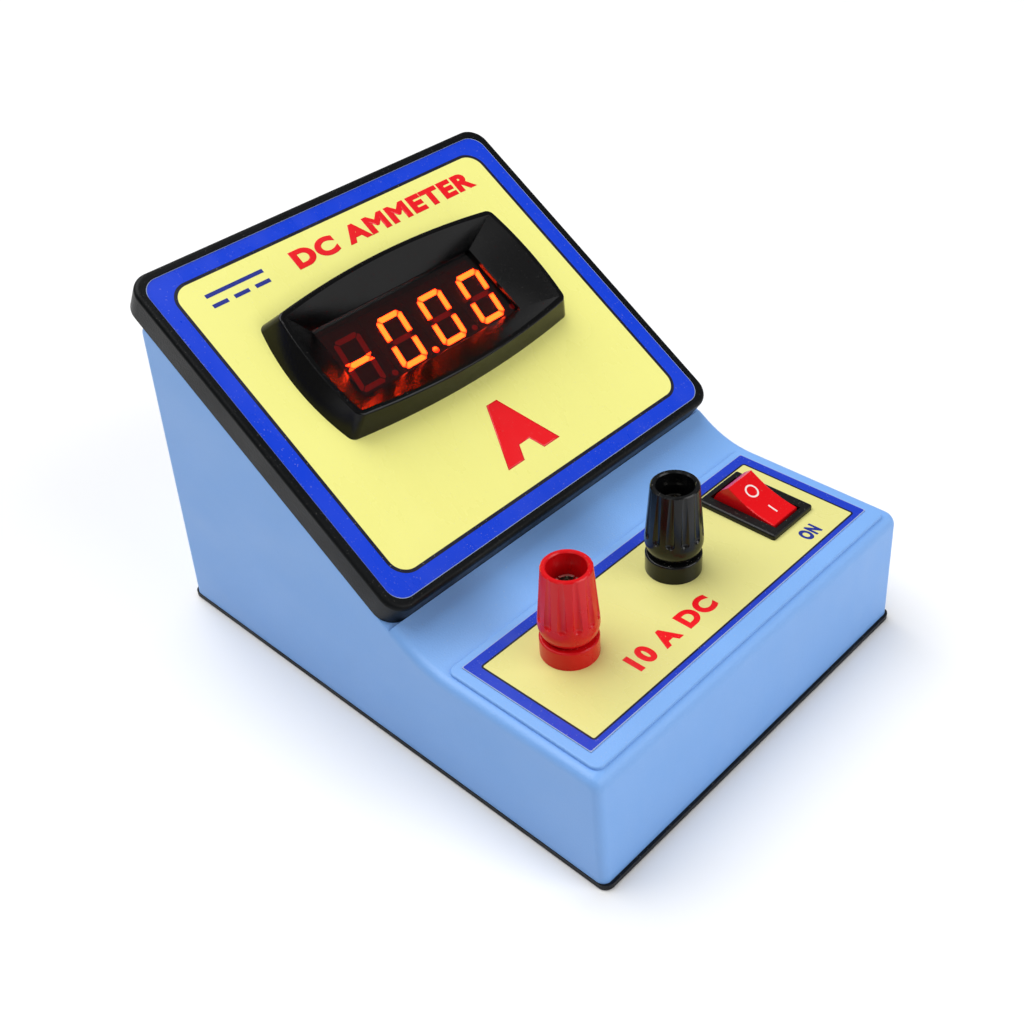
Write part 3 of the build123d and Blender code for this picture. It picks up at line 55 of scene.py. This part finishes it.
def tint(red, green, blue):
    """A colour given as 0 to 255 a channel, as a painter mixes it on a screen."""
    share = [channel / 255 for channel in (red, green, blue)]
    return (*[s / 12.92 if s < 0.04 else ((s + 0.055) / 1.055) ** 2.4 for s in share], 1.0)


def add_node(tree, kind, feeds=None, **choices):
    """A shader node. Its feeds are the values of its inputs, or the sockets that drive them."""
    node = tree.nodes.new(kind)
    for name, choice in choices.items():
        setattr(node, name, choice)
    for socket, feed in (feeds or {}).items():
        if isinstance(feed, bpy.types.NodeSocket):
            tree.links.new(feed, node.inputs[socket])
        else:
            node.inputs[socket].default_value = feed
    return node


def blended(tree, share, first, second):
    """The second colour laid over the first by a share from 0 to 1."""
    feeds = {0: share, 6: first, 7: second}
    return add_node(tree, "ShaderNodeMix", feeds, data_type="RGBA").outputs[2]


def worked(tree, operation, first, second=0.0):
    """One sum on two numbers."""
    return add_node(tree, "ShaderNodeMath", {0: first, 1: second}, operation=operation).outputs[0]


def vector_worked(tree, operation, first, second=(0.0, 0.0, 0.0)):
    """One sum on two vectors."""
    return add_node(tree, "ShaderNodeVectorMath", {0: first, 1: second}, operation=operation)


def ranged(tree, value, low, high, start=0.0, end=1.0):
    """A value's place between low and high, stretched to start and end."""
    feeds = {0: value, 1: low, 2: high, 3: start, 4: end}
    return add_node(tree, "ShaderNodeMapRange", feeds).outputs[0]


def noise(tree, place, scale, detail=2.0):
    """Cloudy values round 0.5, at that many clouds a metre."""
    feeds = {"Vector": place, "Scale": scale, "Detail": detail}
    return add_node(tree, "ShaderNodeTexNoise", feeds).outputs["Fac"]


def new_effect(name, inputs, outputs):
    """An empty shared effect with named sockets, and its two ends."""
    tree = bpy.data.node_groups.new(name, "ShaderNodeTree")
    for label, kind, value in inputs:
        socket = tree.interface.new_socket(label, in_out="INPUT", socket_type=f"NodeSocket{kind}")
        socket.default_value = value
    for label, kind in outputs:
        tree.interface.new_socket(label, in_out="OUTPUT", socket_type=f"NodeSocket{kind}")
    ends = tree.nodes.new("NodeGroupInput"), tree.nodes.new("NodeGroupOutput")
    return tree, ends[0].outputs, ends[1].inputs


# What handling does to a smooth surface: the tone drifts, fingers leave duller smears, and
# dust settles on whatever faces up.
handled, given, made = new_effect(
    "handled_surface",
    [("Colour", "Color", (0.5, 0.5, 0.5, 1.0)), ("Drift", "Float", 0.1),
     ("Roughness", "Float", 0.4), ("Smear", "Float", 0.1),
     ("Grains", "Float", 3000.0), ("Dust", "Float", 0.2)],
    [("Colour", "Color"), ("Roughness", "Float"), ("Height", "Float")],
)
DUST = tint(205, 200, 190)
coordinates = handled.nodes.new("ShaderNodeTexCoord")
spot = coordinates.outputs["Object"]
stretched = add_node(handled, "ShaderNodeMapping", {"Vector": spot, "Scale": (1.0, 0.35, 0.6)})
drift = worked(handled, "MULTIPLY", noise(handled, spot, 38.0, 3.0), given["Drift"])
smears = ranged(handled, noise(handled, stretched.outputs[0], 130.0, 5.0), 0.35, 0.7, -0.5, 0.5)
flecks = ranged(handled, noise(handled, spot, 2300.0, 1.0), 0.69, 0.76)
normal = add_node(handled, "ShaderNodeSeparateXYZ", {0: coordinates.outputs["Normal"]})
settled = worked(handled, "MULTIPLY", ranged(handled, normal.outputs[2], 0.2, 0.9), flecks)
dusty = worked(handled, "MULTIPLY", settled, given["Dust"])
darker = vector_worked(handled, "SCALE", given["Colour"])
darker.inputs["Scale"].default_value = 0.55
toned = blended(handled, drift, given["Colour"], darker.outputs[0])
handled.links.new(blended(handled, dusty, toned, DUST), made["Colour"])
rough = worked(handled, "ADD", given["Roughness"], worked(handled, "MULTIPLY", smears, given["Smear"]))
handled.links.new(worked(handled, "ADD", rough, worked(handled, "MULTIPLY", dusty, 0.4)), made["Roughness"])
handled.links.new(noise(handled, spot, given["Grains"], 3.0), made["Height"])


def finish(name, colour, roughness, drift=0.12, smear=0.1, grains=3000.0, relief=0.0, dust=0.25, **plain):
    """A finish with the signs of handling on it. Relief is the grain's depth in metres, and
    plain holds values that go on the shader's own sockets."""
    material = bpy.data.materials.new(name)
    material.use_nodes = True
    tree = material.node_tree
    shader = tree.nodes["Principled BSDF"]
    feeds = {"Colour": colour, "Drift": drift, "Roughness": roughness, "Smear": smear,
             "Grains": grains, "Dust": dust}
    surface = add_node(tree, "ShaderNodeGroup", feeds, node_tree=handled, name="surface")
    tree.links.new(surface.outputs["Colour"], shader.inputs["Base Color"])
    tree.links.new(surface.outputs["Roughness"], shader.inputs["Roughness"])
    if relief:
        bump = add_node(tree, "ShaderNodeBump", {"Height": surface.outputs["Height"], "Distance": relief})
        tree.links.new(bump.outputs[0], shader.inputs["Normal"])
    for socket, value in plain.items():
        shader.inputs[socket.replace("_", " ")].default_value = value
    return material


def dress(material, *names):
    """Gives CAD pieces their finish."""
    for name in names:
        nodes[name].data.materials.clear()
        nodes[name].data.materials.append(material)


case_blue = finish("case_blue", tint(124, 174, 238), 0.46, drift=0.10, smear=0.12, grains=2600.0,
                   relief=0.00006, dust=0.15)
dress(case_blue, "case_shell")

# ---- Base plate and its screws -----------------------------------------------------------
# A flat sheet of black polystyrene closes the case from below, held by four countersunk
# zinc-plated screws.
base_black = finish("base_black", tint(13, 14, 19), 0.5, relief=0.00008, grains=1800.0,
                    Specular_IOR_Level=0.2)
zinc_steel = finish("zinc_steel", tint(190, 192, 190), 0.34, drift=0.25, smear=0.2, Metallic=1.0)
dress(base_black, "base_plate")
dress(zinc_steel, "base_screws", "panel_screws", "board_standoffs", "standoff_screws",
      "power_board_screws", "display_board_screws", "transformer_screws", "transformer_nuts")

# ---- Panel tray --------------------------------------------------------------------------
# A moulded tray in satin black ABS caps the slope. Its skirt hides the edge of the case's
# opening, and its rim stands just above the printed sheet.
tray_black = finish("tray_black", tint(7, 9, 11), 0.4, drift=0.2, smear=0.14, grains=2400.0,
                    relief=0.00005, dust=0.08, Specular_IOR_Level=0.14)
dress(tray_black, "front_panel")

# ---- Printed sheets ----------------------------------------------------------------------
# Polycarbonate sheets, printed and stuck down: a yellow field, a thin black line round it and
# a blue border. A thin pale band at the cut edge is the sheet's unprinted edge with a painted highlight on
# it.
LABEL_THICK = 0.3 * MM
PRINT_SOFT = 0.04 * MM
panel_normal = Vector(joints["trimmer_turn"]["axis"])
slope = atan2(-panel_normal.y, panel_normal.z)
low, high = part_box("panel_label")
panel_face = (
    Matrix.Translation((low + high) / 2 + panel_normal * LABEL_THICK / 2)
    @ Matrix.Rotation(slope, 4, "X")
)
deck_low, deck_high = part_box("deck_label")
deck_middle = Vector(((deck_low.x + deck_high.x) / 2, (deck_low.y + deck_high.y) / 2, deck_high.z))
deck_face = Matrix.Translation(deck_middle)

framed, given, made = new_effect(
    "framed_print",
    [("Place", "Vector", (0.0, 0.0, 0.0)), ("Half", "Vector", (0.0, 0.0, 0.0)),
     ("Corner", "Float", 0.004), ("Line", "Float", 0.0008)],
    [("Field", "Float"), ("Line", "Float")],
)
corner_off = add_node(framed, "ShaderNodeCombineXYZ", {0: given["Corner"], 1: given["Corner"]})
inner = vector_worked(framed, "SUBTRACT", given["Half"], corner_off.outputs[0]).outputs[0]
flat = vector_worked(framed, "MULTIPLY", given["Place"], (1.0, 1.0, 0.0)).outputs[0]
beyond = vector_worked(framed, "SUBTRACT", vector_worked(framed, "ABSOLUTE", flat).outputs[0], inner)
outer = vector_worked(framed, "MAXIMUM", beyond.outputs[0]).outputs[0]
sides = add_node(framed, "ShaderNodeSeparateXYZ", {0: beyond.outputs[0]})
nearest = worked(framed, "MINIMUM", worked(framed, "MAXIMUM", sides.outputs[0], sides.outputs[1]))
reach = worked(framed, "ADD", vector_worked(framed, "LENGTH", outer).outputs["Value"], nearest)
edge = worked(framed, "SUBTRACT", reach, given["Corner"])
field = ranged(framed, edge, -PRINT_SOFT, PRINT_SOFT, 1.0, 0.0)
past_line = worked(framed, "SUBTRACT", edge, given["Line"])
framed.links.new(field, made["Field"])
framed.links.new(ranged(framed, past_line, -PRINT_SOFT, PRINT_SOFT, 1.0, 0.0), made["Line"])

PRINT_BLACK = tint(18, 18, 40)
# Pale colour at the sheet's cut edge: a painted highlight where the edge catches the light.
SHEET_EDGE_HIGHLIGHT = tint(170, 185, 215)


def printed_sheet(name, face, field, border, half, corner, line, cut_half, cut_corner, shift=0.0):
    """A printed sheet's finish. Half is the field's half size, in metres, and cut_half the
    sheet's own. Shift moves the field up the sheet."""
    material = finish(name, field, 0.3, drift=0.05, smear=0.16, dust=0.2, Coat_Weight=0.0)
    tree = material.node_tree
    place = tree.nodes.new("ShaderNodeTexCoord").outputs["Object"]
    turn = (slope if face is panel_face else 0.0, 0.0, 0.0)
    masks = []
    for size, radius, band, rise in ((half, corner, line, shift), (cut_half, cut_corner, 0.0, 0.0)):
        feeds = {"Vector": place, "Location": face @ Vector((0.0, rise, 0.0)), "Rotation": turn}
        mapped = add_node(tree, "ShaderNodeMapping", feeds, vector_type="TEXTURE")
        feeds = {"Place": mapped.outputs[0], "Half": (*size, 0.0), "Corner": radius, "Line": band}
        masks.append(add_node(tree, "ShaderNodeGroup", feeds, node_tree=framed))
    # Outside the cut mask the sheet takes the pale painted edge highlight.
    colour = blended(tree, masks[1].outputs["Field"], SHEET_EDGE_HIGHLIGHT, border)
    colour = blended(tree, masks[0].outputs["Line"], colour, PRINT_BLACK)
    colour = blended(tree, masks[0].outputs["Field"], colour, field)
    tree.links.new(colour, tree.nodes["surface"].inputs["Colour"])
    return material


CUT_EDGE = 0.12 * MM
panel_print = printed_sheet(
    "panel_print", panel_face, tint(243, 240, 140), tint(3, 60, 212), (45.4 * MM, 39.35 * MM),
    4.0 * MM, 0.8 * MM, (50.2 * MM - CUT_EDGE, 43.9 * MM - CUT_EDGE), 4.0 * MM,
)
deck_print = printed_sheet(
    "deck_print", deck_face, tint(226, 221, 140), tint(24, 58, 192), (44.4 * MM, 14.75 * MM),
    0.4 * MM, 0.45 * MM,
    ((deck_high.x - deck_low.x) / 2 - CUT_EDGE, (deck_high.y - deck_low.y) / 2 - CUT_EDGE),
    0.4 * MM, -0.68 * MM,
)
dress(panel_print, "panel_label")
dress(deck_print, "deck_label")

# ---- Lettering on the sheets -------------------------------------------------------------
# Screen-printed ink: the meter's kind, its unit and the usual direct-current sign on the panel,
# and the range and the switch's word on the deck.
INK_SUNK = 0.01 * MM
INK_PROUD = 0.03 * MM
LETTER_SPACE = 1.16
red_ink = finish("red_ink", tint(236, 14, 26), 0.32, drift=0.05, dust=0.1)
blue_ink = finish("blue_ink", tint(28, 44, 140), 0.32, drift=0.05, dust=0.1)


def settle(mesh, name, face, material, body):
    """Puts a finished mesh on its face and makes it a piece that rides on a body."""
    mesh.transform(face)
    shape = bmesh.new()
    shape.from_mesh(mesh)
    bmesh.ops.remove_doubles(shape, verts=shape.verts, dist=INK_SUNK / 20)
    bmesh.ops.recalc_face_normals(shape, faces=shape.faces)
    shape.to_mesh(mesh)
    shape.free()
    mesh.materials.clear()
    mesh.materials.append(material)
    piece = bpy.data.objects.new(name, mesh)
    bpy.context.scene.collection.objects.link(piece)
    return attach(piece, body)


def printed_words(name, words, left, right, low, high, face, ink, weight):
    """Words in ink, fitted between four edges in mm from the face's middle."""
    letters = bpy.data.curves.new(name, "FONT")
    letters.body = words
    letters.bevel_depth = weight
    letters.bevel_resolution = 1
    letters.extrude = weight
    letters.space_character = LETTER_SPACE
    writing = bpy.data.objects.new(f"{name}_writing", letters)
    bpy.context.scene.collection.objects.link(writing)
    bpy.context.view_layer.update()
    graph = bpy.context.evaluated_depsgraph_get()
    mesh = bpy.data.meshes.new_from_object(writing.evaluated_get(graph))
    bpy.data.objects.remove(writing)
    spans = [(min(axis), max(axis)) for axis in zip(*[v.co for v in mesh.vertices])]
    size = ((right - left) * MM, (high - low) * MM, INK_SUNK + INK_PROUD)
    scale = [wanted / (end - start) for wanted, (start, end) in zip(size, spans)]
    start = Vector([span[0] for span in spans])
    corner = Matrix.Translation((left * MM, low * MM, -INK_SUNK))
    mesh.transform(corner @ Matrix.Diagonal((*scale, 1.0)) @ Matrix.Translation(-start))
    return settle(mesh, name, face, ink, "root")


def printed_patches(name, patches, face, ink):
    """Rectangles of ink, each given by its left, right, low and high edges in mm."""
    shape = bmesh.new()
    for left, right, low, high in patches:
        middle = ((left + right) / 2 * MM, (low + high) / 2 * MM, (INK_PROUD - INK_SUNK) / 2)
        size = ((right - left) * MM, (high - low) * MM, INK_PROUD + INK_SUNK)
        place = Matrix.Translation(middle) @ Matrix.Diagonal((*size, 1.0))
        bmesh.ops.create_cube(shape, size=1.0, matrix=place)
    mesh = bpy.data.meshes.new(name)
    shape.to_mesh(mesh)
    shape.free()
    return settle(mesh, name, face, ink, "root")


BOLD = 0.06
BOLDER = 0.085
printed_words("panel_title", "DC AMMETER", -16.3, 39.8, 31.0, 36.1, panel_face, red_ink, BOLD)
printed_words("unit_letter", "A", -8.2, 8.6, -33.4, -18.2, panel_face, red_ink, BOLDER)
SHORT_BAR = 4.0
sign_bars = [(-39.5, -24.1, 34.4, 35.4)]
sign_bars += [(left, left + SHORT_BAR, 31.6, 32.6) for left in (-39.5, -33.8, -28.1)]
printed_patches("current_sign", sign_bars, panel_face, blue_ink)
deck_y = deck_middle.y / MM
printed_words("range_words", "10 A DC", -25.0, 1.0, -55.65 - deck_y, -50.55 - deck_y,
              deck_face, red_ink, BOLD)
printed_words("switch_word", "ON", 30.2, 35.3, -58.4 - deck_y, -54.7 - deck_y,
              deck_face, blue_ink, BOLD)

# ---- Display frame -----------------------------------------------------------------------
# A bowed frame moulded in fine-textured black ABS snaps into the panel from the front. Its
# funnel leads down to the window.
frame_black = finish("frame_black", tint(5, 5, 6), 0.2, drift=0.15, smear=0.05, grains=3800.0,
                     relief=0.00001, dust=0.05, Specular_IOR_Level=0.24)
dress(frame_black, "display_bezel")

# ---- Filter ------------------------------------------------------------------------------
# The window is a plate of dark red acrylic that lets the digits' light through.
filter_red = finish("filter_red", tint(215, 52, 45), 0.03, drift=0.0, smear=0.02, dust=0.0,
                    Transmission_Weight=1.0, IOR=1.49)
dress(filter_red, "display_filter")

# ---- Digits ------------------------------------------------------------------------------
# Each block is a reflector case with cast bars of tinted resin. A chip at the middle of a bar
# lights it, so a lit bar is yellow inside and red at its ends. The display reads -0.00.
DIGITS = 4
BAR_SLANT = radians(8.6)
BAR_REACH = 3.75 * MM
BAR_HALF_TALL = 6.9 * MM
MIDDLE_HALF_TALL = 0.72 * MM
POINT_BEYOND = 4.6 * MM
digit_case = finish("digit_case", tint(12, 6, 6), 0.6, dust=0.0)
dress(digit_case, *[f"digit_{number + 1}" for number in range(DIGITS)])
on_panel = panel_face.inverted()


def digit_middle(number):
    """A block's middle on the panel, from its own corners."""
    points = [on_panel @ v.co for v in nodes[f"digit_{number}"].data.vertices]
    return [(min(axis) + max(axis)) / 2 for axis in zip(*points)]


glow, given, made = new_effect(
    "bar_glow",
    [("Place", "Vector", (0.0, 0.0, 0.0)), ("Pitch", "Float", 0.0126)],
    [("Core", "Float")],
)
parts = add_node(glow, "ShaderNodeSeparateXYZ", {0: given["Place"]})
slant_off = worked(glow, "MULTIPLY", parts.outputs[1], tan(BAR_SLANT))
upright = worked(glow, "SUBTRACT", parts.outputs[0], slant_off)
across = worked(glow, "ABSOLUTE", worked(glow, "WRAP", upright, 0.0))
wrap = across.node.inputs[0].links[0].from_node
half_pitch = worked(glow, "MULTIPLY", given["Pitch"], 0.5)
glow.links.new(half_pitch, wrap.inputs[1])
glow.links.new(worked(glow, "MULTIPLY", half_pitch, -1.0), wrap.inputs[2])
along_flat = worked(glow, "SUBTRACT", BAR_REACH, across)
halfway = worked(glow, "SUBTRACT", worked(glow, "ABSOLUTE", parts.outputs[1]), BAR_HALF_TALL / 2)
along_tall = worked(glow, "SUBTRACT", BAR_HALF_TALL / 2, worked(glow, "ABSOLUTE", halfway))
from_end = worked(glow, "MAXIMUM", along_flat, along_tall)
RED_TO = 0.2 * MM
YELLOW_FROM = 1.5 * MM
glow.links.new(ranged(glow, from_end, RED_TO, YELLOW_FROM), made["Core"])

middles = [digit_middle(number + 1) for number in range(DIGITS)]
pitch = (middles[-1][0] - middles[0][0]) / (DIGITS - 1)
row_start = panel_face @ Vector((middles[0][0], middles[0][1], 0.0))
BAR_CORE = (1.0, 0.7, 0.08, 1.0)
BAR_END = (1.0, 0.05, 0.01, 1.0)
bar_lit = finish("bar_lit", tint(235, 120, 60), 0.35, dust=0.0, Emission_Strength=20.0)
lit_tree = bar_lit.node_tree
feeds = {"Vector": lit_tree.nodes.new("ShaderNodeTexCoord").outputs["Object"],
         "Location": row_start, "Rotation": (slope, 0.0, 0.0)}
mapped = add_node(lit_tree, "ShaderNodeMapping", feeds, vector_type="TEXTURE")
feeds = {"Place": mapped.outputs[0], "Pitch": pitch}
core = add_node(lit_tree, "ShaderNodeGroup", feeds, node_tree=glow).outputs["Core"]
lit_tree.links.new(
    blended(lit_tree, core, BAR_END, BAR_CORE), lit_tree.nodes["Principled BSDF"].inputs["Emission Color"]
)
# Unlit bars are dark red resin with a faint painted red glow (weak emission) on them.
bar_unlit_painted_glow = finish("bar_unlit_painted_glow", tint(110, 14, 12), 0.45, dust=0.0, Emission_Strength=0.1,
                   Emission_Color=(1.0, 0.03, 0.01, 1.0))

for number in range(1, DIGITS + 1):
    bars = nodes[f"digit_segments_{number}"].data
    dress(bar_lit, f"digit_segments_{number}")
    bars.materials.append(bar_unlit_painted_glow)
    middle = Vector(middles[number - 1])
    for facet in bars.polygons:
        place = on_panel @ facet.center - middle
        across = abs(place.x - place.y * tan(BAR_SLANT))
        is_middle = abs(place.y) < MIDDLE_HALF_TALL and across + abs(place.y) < BAR_REACH
        is_point = across > POINT_BEYOND
        if number == 1:
            lit = is_middle
        else:
            lit = not is_middle and (number == 2 or not is_point)
        facet.material_index = 0 if lit else 1

# ---- Posts -------------------------------------------------------------------------------
# Glossy moulded caps with a threaded brass bush, each on a plated stud whose split tube shows
# in the cap's mouth. A flanged base insulates each stud from the deck.
post_red = finish("post_red", tint(214, 10, 20), 0.26, drift=0.12, smear=0.1, dust=0.15,
                  Specular_IOR_Level=0.3)
post_black = finish("post_black", tint(13, 14, 15), 0.22, drift=0.15, smear=0.1, dust=0.25,
                    Specular_IOR_Level=0.3)
nickel = finish("nickel_plate", tint(212, 208, 198), 0.22, drift=0.2, smear=0.15, Metallic=1.0)
brass = finish("brass", tint(206, 170, 96), 0.3, drift=0.25, smear=0.15, Metallic=1.0)
manganin = finish("manganin", tint(176, 150, 120), 0.36, drift=0.3, Metallic=1.0)
dress(post_red, "red_post_cap", "red_post_base")
dress(post_black, "black_post_cap", "black_post_base")
dress(nickel, "red_post_stud", "black_post_stud", "post_nuts", "post_washers", "solder_tags")
dress(brass, "red_post_bush", "black_post_bush", "contact_lever", "centre_terminal", "end_terminal")
dress(manganin, "shunt")

# ---- Switch ------------------------------------------------------------------------------
# A miniature snap-in rocker in a black nylon housing. The rocker is glossy red, with a ring at
# its OFF end and a bar at its ON end, filled with white paint.
switch_black = finish("switch_black", tint(12, 12, 13), 0.34, drift=0.15, relief=0.00003, grains=2600.0,
                      dust=0.15, Specular_IOR_Level=0.3)
rocker_red = finish("rocker_red", tint(222, 10, 20), 0.22, drift=0.1, smear=0.08, dust=0.08,
                    Specular_IOR_Level=0.3)
spring_steel = finish("spring_steel", tint(170, 172, 176), 0.3, drift=0.2, Metallic=1.0)
mark_white = finish("mark_white", tint(240, 226, 222), 0.35, dust=0.1)
dress(switch_black, "switch_housing")
dress(rocker_red, "switch_rocker", "switch_plunger")
dress(spring_steel, "switch_spring")

ROCKER_REST = radians(20.0)
RING_R = 1.3 * MM
MARK_WIDE = 0.42 * MM
MARK_HALF_DEEP = 0.02 * MM
RING_AT = 2.9 * MM
BAR_AT = -3.3 * MM
BAR_LONG = 2.5 * MM
ABOVE = 20 * MM
rocker_face = Matrix.Translation(joints["rocker_tilt"]["pos_m"]) @ Matrix.Rotation(ROCKER_REST, 4, "X")
rocker_mesh = nodes["switch_rocker"].data
rocker_skin = BVHTree.FromPolygons(
    [v.co.copy() for v in rocker_mesh.vertices], [p.vertices[:] for p in rocker_mesh.polygons]
)


def painted_mark(name, shape):
    """Lays a flat mark, drawn on the rocker's own level plane, down on its hollow top."""
    down = -(rocker_face.to_3x3() @ Vector((0.0, 0.0, 1.0)))
    for vertex in shape.verts:
        start = rocker_face @ Vector((vertex.co.x, vertex.co.y, ABOVE))
        hit = rocker_skin.ray_cast(start, down)[0]
        vertex.co = hit - down * vertex.co.z
    mesh = bpy.data.meshes.new(name)
    shape.to_mesh(mesh)
    shape.free()
    return settle(mesh, name, Matrix.Identity(4), mark_white, "rocker")


ring = bmesh.new()
corners = [(RING_R, -MARK_HALF_DEEP), (RING_R + MARK_WIDE, -MARK_HALF_DEEP),
           (RING_R + MARK_WIDE, MARK_HALF_DEEP), (RING_R, MARK_HALF_DEEP)]
section = [ring.verts.new((x, 0.0, z)) for x, z in corners]
outline = [ring.edges.new((section[i - 1], section[i])) for i in range(len(section))]
RING_STEPS = 48
bmesh.ops.spin(ring, geom=section + outline, cent=(0, 0, 0), axis=(0, 0, 1), angle=2 * pi,
               steps=RING_STEPS, use_merge=True)
bmesh.ops.translate(ring, verts=ring.verts, vec=(0.0, RING_AT, 0.0))
painted_mark("off_ring", ring)
bar = bmesh.new()
bar_size = Matrix.Diagonal((MARK_WIDE, BAR_LONG, 2 * MARK_HALF_DEEP, 1.0))
bmesh.ops.create_cube(bar, size=1.0, matrix=Matrix.Translation((0.0, BAR_AT, 0.0)) @ bar_size)
long_edges = [edge for edge in bar.edges if edge.calc_length() > BAR_LONG / 2]
BAR_CUTS = 11
bmesh.ops.subdivide_edges(bar, edges=long_edges, cuts=BAR_CUTS, use_grid_fill=True)
painted_mark("on_bar", bar)

# ---- Electronics -------------------------------------------------------------------------
# The display board and the mains board are glass-epoxy with green resist. They carry the
# converter, capacitors, calibration preset, rectifier, regulator and fuse.
dress(finish("board_green", tint(26, 96, 58), 0.35, drift=0.3), "display_board", "power_board")
dress(finish("package_black", tint(28, 28, 30), 0.5, relief=0.00002), "converter_chip",
      "bridge_rectifier", "voltage_regulator")
dress(finish("film_box", tint(196, 60, 44), 0.35), "film_capacitors")
dress(finish("preset_blue", tint(40, 86, 170), 0.35), "trimmer_body")
dress(brass, "trimmer_screw")
dress(finish("sleeve", tint(36, 44, 86), 0.3), "smoothing_capacitor")
dress(zinc_steel, "fuse_clips")
dress(finish("fuse_glass", tint(236, 240, 240), 0.05, Transmission_Weight=0.8), "fuse")

# ---- Transformer -------------------------------------------------------------------------
# A stack of silicon-steel plates with a taped winding on a nylon bobbin, held by a zinc strap.
dress(finish("core_steel", tint(96, 98, 104), 0.45, drift=0.35, Metallic=1.0), "transformer_core")
dress(finish("bobbin_nylon", tint(224, 220, 204), 0.45), "transformer_bobbin")
dress(finish("winding_tape", tint(228, 196, 84), 0.4), "transformer_winding")
dress(zinc_steel, "transformer_strap")

# ---- Cord ring ---------------------------------------------------------------------------
# A black rubber ring lines the hole in the rear wall where the mains cord enters.
dress(finish("ring_rubber", tint(26, 26, 27), 0.62, relief=0.00004, grains=1500.0), "cord_grommet")

# ---- Floor, light and camera -------------------------------------------------------------
# A pale floor and three soft lights: a broad one overhead, a fill from the front and a small
# weak one high on the left.
FLOOR_SIZE = 3.0
floor_mesh = bpy.data.meshes.new("floor")
shape = bmesh.new()
bmesh.ops.create_grid(shape, x_segments=1, y_segments=1, size=FLOOR_SIZE)
shape.to_mesh(floor_mesh)
shape.free()
floor = bpy.data.objects.new("floor", floor_mesh)
bpy.context.scene.collection.objects.link(floor)
floor_mesh.materials.append(finish("floor_pale", tint(250, 250, 250), 0.6, drift=0.0, dust=0.0))


def soft_light(name, towards, distance, size, power):
    """A square light, that far from the object's middle in that direction, and facing it."""
    lamp = bpy.data.lights.new(name, "AREA")
    lamp.size = size
    lamp.energy = power
    holder = bpy.data.objects.new(name, lamp)
    holder.location = Vector(towards).normalized() * distance
    holder.rotation_euler = (-holder.location).to_track_quat("-Z", "Y").to_euler()
    bpy.context.scene.collection.objects.link(holder)


soft_light("key", (-0.7, -0.2, 0.75), 2.2, 0.7, 1.6)
soft_light("front_fill", (0.3, -0.85, 0.55), 2.4, 1.6, 27.0)
soft_light("top", (-0.1, 0.4, 1.0), 2.4, 2.4, 62.0)
world = bpy.data.worlds.new("room")
world.use_nodes = True
world.node_tree.nodes["Background"].inputs["Color"].default_value = (1.0, 1.0, 1.0, 1.0)
world.node_tree.nodes["Background"].inputs["Strength"].default_value = 0.18
bpy.context.scene.world = world
bpy.context.scene.view_settings.view_transform = "Standard"

lens = bpy.data.cameras.new("camera")
lens.lens = 45.3
lens.sensor_width = 36.0
lens.clip_start = 0.01
camera = bpy.data.objects.new("camera", lens)
camera.location = (-0.16692, -0.17063, 0.21472)
AIM = Vector((-0.00559, -0.00173, 0.03341))
ROLL = radians(-4.35)
facing = (AIM - camera.location).to_track_quat("-Z", "Y").to_matrix()
camera.rotation_euler = (facing @ Matrix.Rotation(ROLL, 3, "Z")).to_euler()
bpy.context.scene.collection.objects.link(camera)
bpy.context.scene.camera = camera
